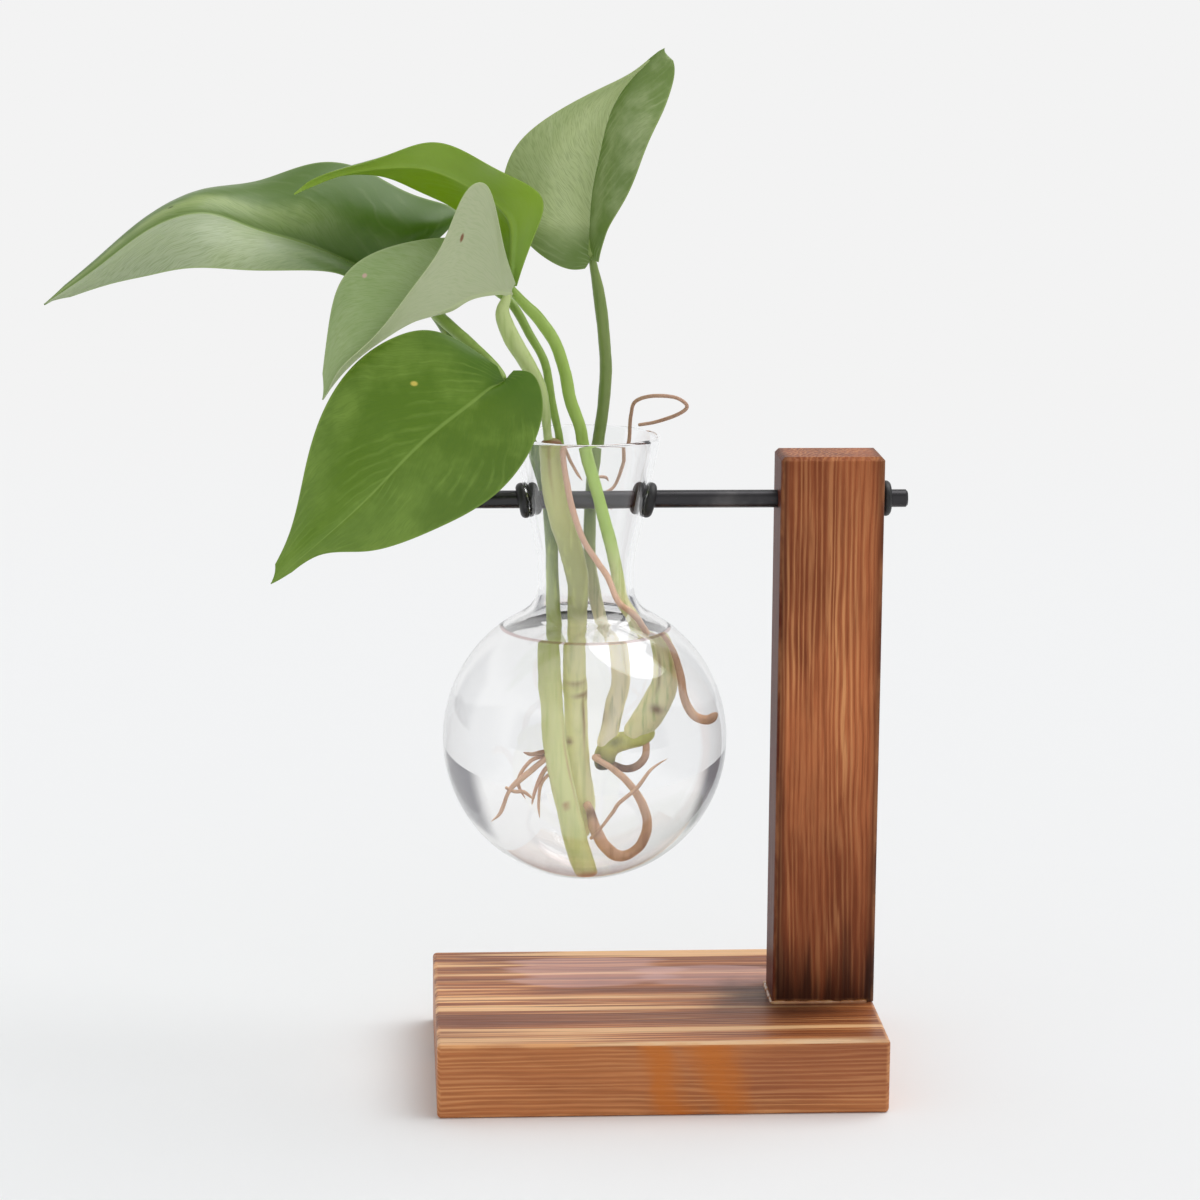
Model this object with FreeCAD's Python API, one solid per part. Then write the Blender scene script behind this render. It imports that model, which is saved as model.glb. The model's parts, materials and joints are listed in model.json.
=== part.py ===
import FreeCAD, Part
import math
import os

# Propagation vase: a glass bulb hung by its neck on a steel rod, from an L-shaped
# wooden stand, with vine cuttings that root in it.
# Millimetres. Origin: centre of the base's underside. +X runs along the rod towards
# the post, +Z is up, and -Y is the front.

# Base board
BASE_LENGTH = 125.0
BASE_DEPTH = 89.0
BASE_THICKNESS = 21.0
BASE_EDGE_ROUND = 1.2

# Post, flush with the board's right end and centred in its depth
POST_WIDTH = 29.0
POST_DEPTH = 19.0
POST_HEIGHT = 157.0
POST_EDGE_ROUND = 1.3
BORE_BELOW_POST_TOP = 13.0

# Glue squeezed out round the post's foot
BEAD_WIDTH = 1.4

# Two countersunk wood screws, up through the board into the post
SCREW_SPACING = 15.0
SCREW_LENGTH = 45.0
SCREW_RADIUS = 2.0
SCREW_HEAD_RADIUS = 4.0
SCREW_HEAD_HEIGHT = 2.6
SCREW_RECESS = 0.6
SCREW_TIP = 4.0
SCREW_CLEARANCE = 0.05

# Steel rod and the rubber ring that stops it
ROD_RADIUS = 2.5
ROD_LENGTH = 130.0
ROD_CHAMFER = 0.5
ROD_STUB = 7.6
ROD_CLEARANCE = 0.08
RING_RADIUS = 5.0
RING_THICKNESS = 2.8
RING_GAP = 0.05

# Glass vase, one wall thickness all over
VASE_TO_POST = 53.5
BULB_RADIUS = 40.0
VASE_HEIGHT = 126.0
GLASS_WALL = 1.5
RIM_RADIUS = 20.5
WAIST_RADIUS = 13.5
SHOULDER_ROUND = 9.0
WAIST_ROUND = 20.0
FLARE_DEGREES = 11.6
ROD_BELOW_RIM = 18.0

# Rubber grommets in the two holes of the neck
GROMMET_WAIST_RADIUS = 3.8
GROMMET_FLANGE_RADIUS = 5.0
GROMMET_OUTER_THICKNESS = 3.0
GROMMET_INNER_RADIUS = 4.6
GROMMET_INNER_THICKNESS = 1.6
GROMMET_CLEARANCE = 0.05

# Plant
FOLIAGE_REACH = 100.0
BLADE_THICKNESS = 0.7
LEAF_FRONT_LENGTH = 86.0
LEAF_UPRIGHT_LENGTH = 64.0
LEAF_LEFT_LENGTH = 102.0
LEAF_FOLDED_LENGTH = 63.0
LEAF_ARCHED_LENGTH = 85.0
VINE_RADIUS = 2.5
PETIOLE_RADIUS = 1.7
SHEATH_RADIUS = 2.2
ROOT_RADIUS = 0.6
THICK_ROOT_RADIUS = 1.2
CUT_END_RADIUS = 2.1

# Places that follow from the sizes
POST_TOP_CHAMFER = POST_EDGE_ROUND * 0.8
POST_RIGHT = BASE_LENGTH / 2
POST_LEFT = POST_RIGHT - POST_WIDTH
POST_CENTRE = POST_RIGHT - POST_WIDTH / 2
POST_TOP = BASE_THICKNESS + POST_HEIGHT
ROD_Z = POST_TOP - BORE_BELOW_POST_TOP
ROD_RIGHT = POST_RIGHT + ROD_STUB
VASE_X = POST_LEFT - VASE_TO_POST
RIM_Z = ROD_Z + ROD_BELOW_RIM
BULB_Z = RIM_Z - VASE_HEIGHT + BULB_RADIUS
SHOULDER_X = WAIST_RADIUS + SHOULDER_ROUND
SHOULDER_REACH = BULB_RADIUS + SHOULDER_ROUND
SHOULDER_Z = BULB_Z + math.sqrt(SHOULDER_REACH**2 - SHOULDER_X**2)
NECK_DEPTH = RIM_Z - SHOULDER_Z
NECK_INNER_RADIUS = WAIST_RADIUS - GLASS_WALL
BULB_INNER_RADIUS = BULB_RADIUS - GLASS_WALL
FLARE = math.radians(FLARE_DEGREES)
OVERRUN = BULB_RADIUS

# Leaf outlines. Each row is one rib of the blade, from the heart's notch to the tip:
# left margin, midrib and right margin as (x, y, z) shares of the leaf's length, from
# the point where the stalk meets the blade.
LEAF_FRONT_SHARES = [
    ((-0.020, 0.006, 0.045), (0.000, 0.000, 0.000), (0.030, -0.010, 0.034)),
    ((-0.100, 0.025, 0.100), (-0.015, 0.000, -0.010), (0.085, -0.010, 0.025)),
    ((-0.210, 0.045, 0.150), (-0.040, -0.010, -0.020), (0.120, -0.035, -0.055)),
    ((-0.340, 0.060, 0.130), (-0.090, -0.035, -0.055), (0.095, -0.045, -0.190)),
    ((-0.475, 0.060, 0.040), (-0.175, -0.070, -0.115), (-0.015, -0.060, -0.340)),
    ((-0.575, 0.045, -0.115), (-0.290, -0.105, -0.210), (-0.210, -0.070, -0.455)),
    ((-0.635, 0.010, -0.330), (-0.430, -0.115, -0.355), (-0.425, -0.080, -0.530)),
    ((-0.685, -0.045, -0.495), (-0.585, -0.095, -0.500), (-0.585, -0.080, -0.540)),
    ((-0.748, -0.060, -0.622), (-0.735, -0.060, -0.635), (-0.722, -0.060, -0.648)),
]
LEAF_UPRIGHT_SHARES = [
    ((-0.035, 0.000, -0.045), (0.000, 0.000, 0.000), (0.025, -0.015, -0.015)),
    ((-0.090, 0.000, -0.050), (-0.005, 0.015, 0.035), (0.030, -0.045, 0.020)),
    ((-0.230, 0.030, 0.015), (-0.005, 0.030, 0.085), (0.045, -0.095, 0.085)),
    ((-0.365, 0.065, 0.180), (0.000, 0.065, 0.160), (0.070, -0.140, 0.165)),
    ((-0.385, 0.080, 0.330), (0.010, 0.095, 0.275), (0.135, -0.170, 0.290)),
    ((-0.315, 0.080, 0.495), (0.040, 0.110, 0.435), (0.210, -0.155, 0.460)),
    ((-0.140, 0.095, 0.630), (0.080, 0.125, 0.600), (0.275, -0.095, 0.600)),
    ((0.060, 0.105, 0.735), (0.155, 0.125, 0.740), (0.330, 0.000, 0.720)),
    ((0.195, 0.105, 0.810), (0.245, 0.110, 0.840), (0.350, 0.065, 0.820)),
    ((0.297, 0.097, 0.900), (0.310, 0.095, 0.895), (0.323, 0.093, 0.890)),
]
LEAF_LEFT_SHARES = [
    ((0.050, 0.000, 0.008), (0.000, 0.000, 0.000), (0.032, -0.008, -0.008)),
    ((0.165, 0.050, 0.090), (-0.012, 0.000, 0.005), (0.040, -0.040, -0.035)),
    ((0.215, 0.090, 0.155), (-0.032, 0.000, 0.010), (0.020, -0.070, -0.055)),
    ((0.125, 0.125, 0.195), (-0.060, 0.000, 0.020), (-0.035, -0.090, -0.035)),
    ((-0.020, 0.155, 0.260), (-0.125, -0.010, 0.050), (-0.110, -0.120, 0.010)),
    ((-0.165, 0.155, 0.285), (-0.220, -0.030, 0.090), (-0.240, -0.165, 0.025)),
    ((-0.330, 0.125, 0.240), (-0.345, -0.050, 0.130), (-0.365, -0.205, 0.030)),
    ((-0.470, 0.080, 0.225), (-0.465, -0.080, 0.170), (-0.490, -0.225, 0.035)),
    ((-0.615, 0.020, 0.155), (-0.610, -0.100, 0.130), (-0.605, -0.215, 0.015)),
    ((-0.735, -0.050, 0.060), (-0.735, -0.120, 0.040), (-0.710, -0.185, -0.010)),
    ((-0.897, -0.126, -0.065), (-0.893, -0.135, -0.070), (-0.889, -0.144, -0.075)),
]
LEAF_FOLDED_SHARES = [
    ((0.000, 0.024, 0.016), (0.000, 0.000, 0.000), (0.024, -0.020, 0.034)),
    ((-0.040, 0.080, 0.120), (-0.020, -0.015, -0.005), (-0.030, -0.080, 0.205)),
    ((-0.125, 0.110, 0.210), (-0.065, -0.030, -0.005), (-0.100, -0.160, 0.465)),
    ((-0.235, 0.080, 0.225), (-0.155, -0.065, -0.015), (-0.180, -0.190, 0.465)),
    ((-0.370, 0.030, 0.225), (-0.265, -0.110, -0.060), (-0.280, -0.205, 0.250)),
    ((-0.565, -0.015, 0.175), (-0.400, -0.145, -0.105), (-0.425, -0.220, 0.040)),
    ((-0.735, -0.080, 0.045), (-0.545, -0.175, -0.175), (-0.600, -0.240, -0.175)),
    ((-0.795, -0.125, -0.185), (-0.700, -0.190, -0.295), (-0.735, -0.220, -0.315)),
    ((-0.823, -0.166, -0.449), (-0.815, -0.175, -0.450), (-0.807, -0.184, -0.451)),
]
LEAF_ARCHED_SHARES = [
    ((-0.018, 0.020, -0.005), (0.000, 0.000, 0.000), (0.018, -0.020, 0.005)),
    ((-0.035, 0.045, 0.065), (0.005, -0.010, 0.065), (0.040, -0.045, 0.085)),
    ((-0.070, 0.070, 0.115), (0.010, -0.010, 0.135), (0.075, -0.080, 0.185)),
    ((-0.105, 0.095, 0.155), (0.005, -0.010, 0.210), (0.100, -0.105, 0.280)),
    ((-0.170, 0.165, 0.230), (-0.100, 0.025, 0.310), (-0.040, -0.120, 0.385)),
    ((-0.305, 0.190, 0.300), (-0.285, 0.060, 0.385), (-0.260, -0.080, 0.465)),
    ((-0.395, 0.175, 0.335), (-0.395, 0.070, 0.385), (-0.390, -0.045, 0.430)),
    ((-0.500, 0.140, 0.350), (-0.510, 0.070, 0.370), (-0.515, -0.010, 0.390)),
    ((-0.610, 0.095, 0.335), (-0.620, 0.060, 0.335), (-0.630, 0.025, 0.345)),
    ((-0.696, 0.054, 0.290), (-0.698, 0.045, 0.295), (-0.700, 0.036, 0.300)),
]
# How far each half of a blade swells from flat, as a share of its width
SWELL_FRONT_SHARE = 0.08
SWELL_UPRIGHT_SHARE = -0.06
SWELL_LEFT_SHARE = 0.12
SWELL_FOLDED_SHARE = 0.06
SWELL_ARCHED_SHARE = 0.08

# Where each stalk meets its blade, from the middle of the rim
FRONT_SEAT_SHARES = (-0.237, -0.220, 0.181)
UPRIGHT_SEAT_SHARES = (0.018, 0.060, 0.486)
LEFT_SEAT_SHARES = (-0.573, 0.100, 0.440)
FOLDED_SEAT_SHARES = (-0.215, -0.050, 0.406)
ARCHED_SEAT_SHARES = (-0.211, -0.020, 0.414)

# Routes of stems and roots: (x, y, z, girth). "air" is in shares of the foliage's
# reach from the middle of the rim, "neck" in shares of the neck's inner radius and
# depth, "bulb" in shares of the bulb's inner radius from its centre. The girth is a
# share of the stem's own radius.
PETIOLE_FRONT_SHARES = {
    "air": [
        (-0.421, -0.006, 0.343, 1.0),
        (-0.393, -0.050, 0.321, 1.0),
        (-0.331, -0.110, 0.273, 0.9),
        (-0.273, -0.170, 0.226, 0.8),
        (-0.244, -0.201, 0.193, 0.7),
    ]
}
PETIOLE_UPRIGHT_SHARES = {
    "air": [
        (0.018, 0.076, 0.478, 0.6),
        (0.035, 0.068, 0.390, 0.95),
        (0.046, 0.062, 0.309, 1.0),
        (0.056, 0.065, 0.191, 1.0),
        (0.052, 0.068, 0.092, 1.0),
        (0.037, 0.066, -0.024, 1.0),
    ],
    "neck": [
        (0.18, 0.48, -0.27, 1.0),
        (0.12, 0.43, -0.50, 1.0),
        (0.12, 0.39, -0.85, 1.05),
    ],
    "bulb": [
        (0.08, 0.12, 1.02, 1.1),
        (0.13, 0.11, 0.78, 1.15),
        (0.19, 0.10, 0.50, 1.2),
        (0.20, 0.09, 0.29, 1.2),
        (0.17, 0.08, 0.17, 1.2),
        (0.14, 0.08, 0.022, 1.1),
    ],
}
PETIOLE_ARCHED_SHARES = {
    "air": [
        (-0.211, -0.016, 0.408, 0.7),
        (-0.172, -0.025, 0.365, 0.9),
        (-0.135, -0.040, 0.328, 1.0),
        (-0.092, -0.060, 0.265, 1.0),
        (-0.066, -0.080, 0.190, 1.0),
        (-0.051, -0.090, 0.114, 1.0),
        (-0.024, -0.095, 0.037, 1.0),
    ],
    "neck": [
        (-0.10, -0.73, -0.05, 1.0),
        (0.16, -0.58, -0.29, 1.0),
        (0.32, -0.45, -0.46, 1.0),
        (0.55, -0.27, -0.70, 1.05),
        (0.70, -0.13, -0.88, 1.05),
    ],
    "bulb": [
        (0.260, -0.02, 1.04, 1.1),
        (0.350, -0.01, 0.87, 1.2),
        (0.430, 0.02, 0.68, 1.5),
        (0.465, 0.03, 0.47, 1.65),
        (0.450, 0.05, 0.30, 1.7),
        (0.390, 0.07, 0.17, 1.6),
        (0.330, 0.08, 0.10, 1.4),
    ],
}
PETIOLE_LEFT_SHARES = {
    "air": [
        (-0.080, -0.045, 0.012, 0.65),
        (-0.100, -0.030, 0.103, 0.7),
        (-0.116, 0.000, 0.199, 0.7),
        (-0.157, 0.030, 0.276, 0.7),
        (-0.217, 0.070, 0.369, 0.75),
        (-0.321, 0.100, 0.425, 0.75),
        (-0.432, 0.110, 0.438, 0.75),
        (-0.553, 0.103, 0.415, 0.7),
    ]
}
PETIOLE_FOLDED_SHARES = {
    "air": [
        (-0.112, -0.075, 0.012, 0.55),
        (-0.119, -0.085, 0.078, 0.65),
        (-0.136, -0.085, 0.152, 0.8),
        (-0.172, -0.082, 0.215, 1.0),
        (-0.215, -0.078, 0.288, 1.05),
        (-0.236, -0.072, 0.345, 0.9),
        (-0.226, -0.062, 0.384, 0.6),
    ]
}
VINE_LEFT_SHARES = {
    "air": [
        (-0.437, 0.030, 0.370, 0.8),
        (-0.410, 0.025, 0.330, 0.8),
        (-0.337, 0.015, 0.223, 0.76),
        (-0.238, 0.020, 0.096, 0.76),
        (-0.171, 0.030, 0.005, 0.76),
    ],
    "neck": [
        (-1.15, 0.33, -0.18, 0.76),
        (-0.91, 0.41, -0.42, 0.76),
        (-0.82, 0.30, -0.65, 0.76),
        (-0.79, 0.12, -0.90, 0.76),
    ],
    "bulb": [
        (-0.235, 0.01, 0.95, 0.80),
        (-0.228, 0.00, 0.75, 0.90),
        (-0.212, -0.01, 0.46, 1.0),
        (-0.190, -0.03, 0.19, 1.0),
        (-0.164, -0.04, -0.07, 1.0),
        (-0.100, -0.05, -0.36, 1.0),
        (-0.040, -0.05, -0.60, 1.0),
        (0.025, -0.05, -0.82, 1.0),
    ],
}
VINE_MIDDLE_SHARES = {
    "air": [(-0.100, -0.070, 0.003, 1.35)],
    "neck": [
        (-0.83, -0.59, -0.10, 1.30),
        (-0.76, -0.56, -0.30, 1.30),
        (-0.60, -0.53, -0.52, 1.30),
        (-0.35, -0.42, -0.75, 1.28),
        (-0.20, -0.30, -0.95, 1.22),
    ],
    "bulb": [
        (-0.062, -0.05, 0.92, 1.10),
        (-0.066, 0.00, 0.66, 1.02),
        (-0.060, 0.02, 0.40, 1.0),
        (-0.045, 0.06, 0.10, 1.0),
        (-0.035, 0.08, -0.15, 1.0),
        (0.000, 0.09, -0.37, 0.95),
    ],
}
VINE_OFFCUT_SHARES = {
    "bulb": [
        (0.330, 0.08, -0.005, 0.95),
        (0.265, 0.08, -0.035, 1.0),
        (0.185, 0.08, -0.050, 1.0),
        (0.130, 0.08, -0.080, 1.0),
        (0.110, 0.08, -0.150, 1.0),
    ]
}
ROOT_LONG_SHARES = {
    "neck": [
        (-0.60, -0.99, -0.05, 1.3),
        (-0.52, -0.98, -0.22, 1.4),
        (-0.36, -0.95, -0.44, 1.4),
        (-0.10, -0.88, -0.65, 1.4),
        (0.22, -0.78, -0.80, 1.4),
        (0.46, -0.66, -0.91, 1.4),
    ],
    "bulb": [
        (0.220, -0.165, 1.04, 1.4),
        (0.320, -0.135, 0.94, 1.4),
        (0.430, -0.100, 0.80, 1.4),
        (0.530, -0.070, 0.60, 1.5),
        (0.560, -0.050, 0.40, 1.6),
        (0.570, -0.040, 0.24, 1.7),
        (0.620, -0.030, 0.13, 1.8),
        (0.710, -0.020, 0.10, 1.8),
        (0.800, 0.000, 0.14, 1.7),
    ],
}
ROOT_CURL_SHARES = {
    "bulb": [
        (0.058, 0.005, -0.12, 0.55),
        (0.145, -0.030, -0.17, 0.6),
        (0.239, -0.050, -0.25, 0.65),
        (0.312, -0.065, -0.36, 0.75),
        (0.343, -0.065, -0.49, 0.9),
        (0.299, -0.055, -0.61, 1.0),
        (0.200, -0.040, -0.66, 1.05),
        (0.110, -0.040, -0.60, 1.05),
        (0.055, -0.040, -0.50, 1.0),
        (0.035, -0.025, -0.42, 0.85),
    ]
}
ROOT_HOOK_SHARES = {
    "bulb": [
        (0.335, 0.060, -0.075, 1.0),
        (0.325, 0.045, -0.130, 1.1),
        (0.280, 0.045, -0.175, 1.1),
        (0.220, 0.060, -0.190, 1.0),
    ]
}
ROOT_LOOP_SHARES = {
    "neck": [
        (0.72, 0.93, -0.38, 0.8),
        (0.92, 0.98, -0.25, 0.9),
        (1.05, 0.96, -0.08, 0.9),
    ],
    "air": [
        (0.128, 0.110, 0.010, 0.9),
        (0.130, 0.100, 0.042, 0.9),
        (0.140, 0.080, 0.082, 0.9),
        (0.185, 0.060, 0.101, 0.9),
        (0.250, 0.050, 0.098, 0.9),
        (0.283, 0.050, 0.074, 0.9),
        (0.260, 0.060, 0.050, 0.9),
        (0.200, 0.090, 0.024, 0.85),
        (0.150, 0.098, 0.014, 0.8),
    ],
}
# Fine roots in small bunches, each strand a solid of its own
ROOTS_LEFT_SHARES = [
    {"bulb": [(-0.248, -0.040, -0.08, 0.9), (-0.300, -0.035, -0.09, 0.8), (-0.345, -0.025, -0.08, 0.6)]},
    {
        "bulb": [
            (-0.242, -0.045, -0.13, 1.0),
            (-0.325, -0.050, -0.20, 1.1),
            (-0.390, -0.065, -0.25, 1.0),
            (-0.435, -0.080, -0.30, 0.8),
            (-0.485, -0.090, -0.42, 0.8),
            (-0.550, -0.100, -0.48, 0.6),
        ]
    },
    {"bulb": [(-0.228, -0.030, -0.19, 0.8), (-0.268, -0.005, -0.29, 0.7), (-0.285, 0.010, -0.38, 0.6)]},
]
ROOTS_RIGHT_SHARES = [
    {
        "bulb": [
            (0.083, -0.085, -0.50, 0.6),
            (0.150, -0.110, -0.41, 0.7),
            (0.190, -0.125, -0.35, 0.7),
            (0.285, -0.125, -0.27, 0.7),
            (0.370, -0.110, -0.165, 0.6),
            (0.460, -0.080, -0.11, 0.5),
        ]
    }
]
ROOTS_NECK_SHARES = [
    {"neck": [(0.30, 0.61, -0.30, 0.7), (0.50, 0.78, -0.31, 0.8), (0.58, 0.86, -0.34, 0.6)]},
    {"neck": [(0.27, 0.64, -0.38, 0.7), (0.50, 0.78, -0.45, 0.7), (0.66, 0.80, -0.53, 0.5)]},
]

# Sections between two points of a stem's route
STEM_STEPS = 3

# How sharp a fold of a blade keeps its full thickness along the midrib: 0 for a right
# angle, 1 for any
MIDRIB_MITRE = 0.5


def point(x, y, z):
    """A point of the model."""
    return FreeCAD.Vector(x, y, z)


def upright_cylinder(x, y, z, radius, height):
    """A cylinder that stands on (x, y, z)."""
    return Part.makeCylinder(radius, height, point(x, y, z))


def rod_cylinder(start_x, radius, length):
    """A cylinder on the rod's axis, from start_x towards +X."""
    return Part.makeCylinder(radius, length, point(start_x, 0, ROD_Z), point(1, 0, 0))


def turned(profile, centre, axis):
    """A solid turned from the closed wire profile about an axis through centre."""
    return Part.Face(profile).revolve(centre, axis, 360)


def screw_places():
    """X of each screw, either side of the post's middle."""
    return [POST_CENTRE - SCREW_SPACING / 2, POST_CENTRE + SCREW_SPACING / 2]


def screw_shape(x, grow):
    """One countersunk screw at x, its point up, larger all round by grow."""
    head_z = SCREW_RECESS
    neck_z = head_z + SCREW_HEAD_HEIGHT
    tip_z = head_z + SCREW_LENGTH
    radius = SCREW_RADIUS + grow
    head = SCREW_HEAD_RADIUS + grow
    outline = [
        point(x, 0, head_z),
        point(x + head, 0, head_z),
        point(x + radius, 0, neck_z),
        point(x + radius, 0, tip_z - SCREW_TIP + grow),
        point(x, 0, tip_z + grow),
    ]
    return turned(Part.makePolygon(outline + outline[:1]), outline[0], point(0, 0, 1))


def screw_hole(x):
    """The room a screw takes: its shape with clearance, and the recess under its head."""
    recess = upright_cylinder(x, 0, -SCREW_RECESS, SCREW_HEAD_RADIUS + SCREW_CLEARANCE, 2 * SCREW_RECESS)
    return screw_shape(x, SCREW_CLEARANCE).fuse(recess)


def base_block():
    """The board, its edges eased, drilled and countersunk from below."""
    corner = point(-BASE_LENGTH / 2, -BASE_DEPTH / 2, 0)
    board = Part.makeBox(BASE_LENGTH, BASE_DEPTH, BASE_THICKNESS, corner)
    board = board.makeFillet(BASE_EDGE_ROUND, board.Edges)
    for x in screw_places():
        board = board.cut(screw_hole(x))
    return board


def plain_post():
    """The post before drilling: eased uprights and a chamfered top."""
    corner = point(POST_LEFT, -POST_DEPTH / 2, BASE_THICKNESS)
    post = Part.makeBox(POST_WIDTH, POST_DEPTH, POST_HEIGHT, corner)
    uprights = [e for e in post.Edges if e.BoundBox.ZLength > POST_HEIGHT / 2]
    post = post.makeFillet(POST_EDGE_ROUND, uprights)
    top = [e for e in post.Edges if e.BoundBox.ZMin > POST_TOP - POST_EDGE_ROUND]
    return post.makeChamfer(POST_TOP_CHAMFER, top)


def post():
    """The post, bored across for the rod and drilled in its foot for the screws."""
    shape = plain_post().cut(rod_cylinder(POST_LEFT - OVERRUN, ROD_RADIUS + ROD_CLEARANCE, 2 * OVERRUN + POST_WIDTH))
    for x in screw_places():
        shape = shape.cut(screw_shape(x, SCREW_CLEARANCE))
    return shape


def glue_bead():
    """The bead of glue round three sides of the post's foot, sloped at 45 degrees."""
    corner = point(POST_LEFT - BEAD_WIDTH, -POST_DEPTH / 2 - BEAD_WIDTH, BASE_THICKNESS)
    length = POST_WIDTH + BEAD_WIDTH - BASE_EDGE_ROUND
    bead = Part.makeBox(length, POST_DEPTH + 2 * BEAD_WIDTH, BEAD_WIDTH, corner)
    outer = []
    for edge in bead.Edges:
        box = edge.BoundBox
        at_right = box.XMin > POST_RIGHT - BASE_EDGE_ROUND - BEAD_WIDTH / 2
        on_top = box.ZMin > BASE_THICKNESS + BEAD_WIDTH / 2
        if on_top and not at_right:
            outer.append(edge)
    bead = bead.makeChamfer(BEAD_WIDTH * 0.9, outer)
    return bead.cut(plain_post())


def rod():
    """The steel rod, chamfered at both ends."""
    shape = rod_cylinder(ROD_RIGHT - ROD_LENGTH, ROD_RADIUS, ROD_LENGTH)
    rims = [e for e in shape.Edges if e.BoundBox.XLength < ROD_RADIUS and e.Closed]
    return shape.makeChamfer(ROD_CHAMFER, rims)


def ring_profile(start_x, bore, radius, thickness):
    """Half section of a ring on the rod's axis: a straight bore and a round outside."""
    round_r = thickness / 2
    inner_a = point(start_x, 0, ROD_Z + bore)
    inner_b = point(start_x + thickness, 0, ROD_Z + bore)
    outer_a = point(start_x, 0, ROD_Z + radius - round_r)
    outer_b = point(start_x + thickness, 0, ROD_Z + radius - round_r)
    crown = point(start_x + round_r, 0, ROD_Z + radius)
    edges = [
        Part.makeLine(inner_a, inner_b),
        Part.makeLine(inner_b, outer_b),
        Part.Arc(outer_b, crown, outer_a).toShape(),
        Part.makeLine(outer_a, inner_a),
    ]
    return Part.Wire(edges)


def stop_ring():
    """The rubber ring on the rod's stub, against the outside of the post."""
    profile = ring_profile(POST_RIGHT + RING_GAP, ROD_RADIUS, RING_RADIUS, RING_THICKNESS)
    return turned(profile, point(0, 0, ROD_Z), point(1, 0, 0))


def vase_side(offset):
    """Edges of the glass's side from the bulb's foot to the rim, moved inwards by offset."""
    axis_foot = point(VASE_X, 0, BULB_Z - BULB_RADIUS + offset)
    bulb_r = BULB_RADIUS - offset
    shoulder_r = SHOULDER_ROUND + offset
    waist_r = WAIST_ROUND + offset
    neck_x = WAIST_RADIUS - offset
    tilt = math.atan2(SHOULDER_Z - BULB_Z, SHOULDER_X)
    bulb_end = (bulb_r * math.cos(tilt), BULB_Z + bulb_r * math.sin(tilt))
    belly = (bulb_r * math.cos((tilt - math.pi / 2) / 2), BULB_Z + bulb_r * math.sin((tilt - math.pi / 2) / 2))
    mid_shoulder = (SHOULDER_X - shoulder_r * math.cos(tilt / 2), SHOULDER_Z - shoulder_r * math.sin(tilt / 2))
    rise = (RIM_RADIUS - WAIST_RADIUS - WAIST_ROUND * (1 - math.cos(FLARE))) / math.tan(FLARE)
    lip_z = RIM_Z - GLASS_WALL / 2
    flare_z = lip_z - rise
    waist_z = flare_z - WAIST_ROUND * math.sin(FLARE)
    waist_x = WAIST_RADIUS + WAIST_ROUND
    flare = (waist_x - waist_r * math.cos(FLARE), waist_z + waist_r * math.sin(FLARE))
    mid_waist = (waist_x - waist_r * math.cos(FLARE / 2), waist_z + waist_r * math.sin(FLARE / 2))
    rim = (RIM_RADIUS - offset * math.cos(FLARE), lip_z + offset * math.sin(FLARE))
    at = lambda pair: point(VASE_X + pair[0], 0, pair[1])
    edges = [
        Part.Arc(axis_foot, at(belly), at(bulb_end)).toShape(),
        Part.Arc(at(bulb_end), at(mid_shoulder), at((neck_x, SHOULDER_Z))).toShape(),
        Part.makeLine(at((neck_x, SHOULDER_Z)), at((neck_x, waist_z))),
        Part.Arc(at((neck_x, waist_z)), at(mid_waist), at(flare)).toShape(),
        Part.makeLine(at(flare), at(rim)),
    ]
    return edges, axis_foot, at(rim)


def glass_wall():
    """The blown glass before its two holes: one wall turned about the vase's axis."""
    outer, outer_foot, outer_rim = vase_side(0)
    inner, inner_foot, inner_rim = vase_side(GLASS_WALL)
    middle = (outer_rim + inner_rim) * 0.5
    up = point(math.sin(FLARE), 0, math.cos(FLARE)) * (GLASS_WALL / 2)
    lip = Part.Arc(outer_rim, middle + up, inner_rim).toShape()
    wall = Part.makeLine(inner_foot, outer_foot)
    profile = Part.Wire(Part.__sortEdges__(outer + [lip] + inner + [wall]))
    return turned(profile, point(VASE_X, 0, 0), point(0, 0, 1))


def glass_vase():
    """The glass with a hole through each side of its neck, where the rod passes."""
    holes = rod_cylinder(VASE_X - OVERRUN, GROMMET_WAIST_RADIUS, 2 * OVERRUN)
    return glass_wall().cut(holes)


def grommet(side):
    """A rubber grommet in the neck's hole on that side, 1 for the right and -1 for the left."""
    hole_x = RIM_RADIUS - ROD_BELOW_RIM * math.tan(FLARE) - GLASS_WALL / 2
    centre = point(hole_x, 0, ROD_Z)
    outward = point(1, 0, 0)
    outer = turned(
        ring_profile(hole_x, 0, GROMMET_FLANGE_RADIUS, GROMMET_OUTER_THICKNESS), centre, outward
    )
    inner_x = hole_x - GLASS_WALL - GROMMET_INNER_THICKNESS
    inner = turned(
        ring_profile(inner_x, 0, GROMMET_INNER_RADIUS, GROMMET_INNER_THICKNESS + GLASS_WALL), centre, outward
    )
    body = outer.fuse(inner)
    body.rotate(centre, point(0, 1, 0), FLARE_DEGREES)
    body.translate(point(VASE_X, 0, 0))
    if side < 0:
        body.rotate(point(VASE_X, 0, 0), point(0, 0, 1), 180)
    start_x = min(VASE_X, VASE_X + side * OVERRUN)
    plug = rod_cylinder(start_x, GROMMET_WAIST_RADIUS, OVERRUN).common(body)
    flanges = body.cut(glass_wall())
    waist = plug.common(glass_wall())
    bore = rod_cylinder(VASE_X - OVERRUN, ROD_RADIUS + GROMMET_CLEARANCE, 2 * OVERRUN)
    return flanges.fuse(waist).removeSplitter().cut(bore)


def air(x, y, z):
    """A place above the vase, in shares of the foliage's reach from the middle of the rim."""
    return point(VASE_X + x * FOLIAGE_REACH, y * FOLIAGE_REACH, RIM_Z + z * FOLIAGE_REACH)


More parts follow.
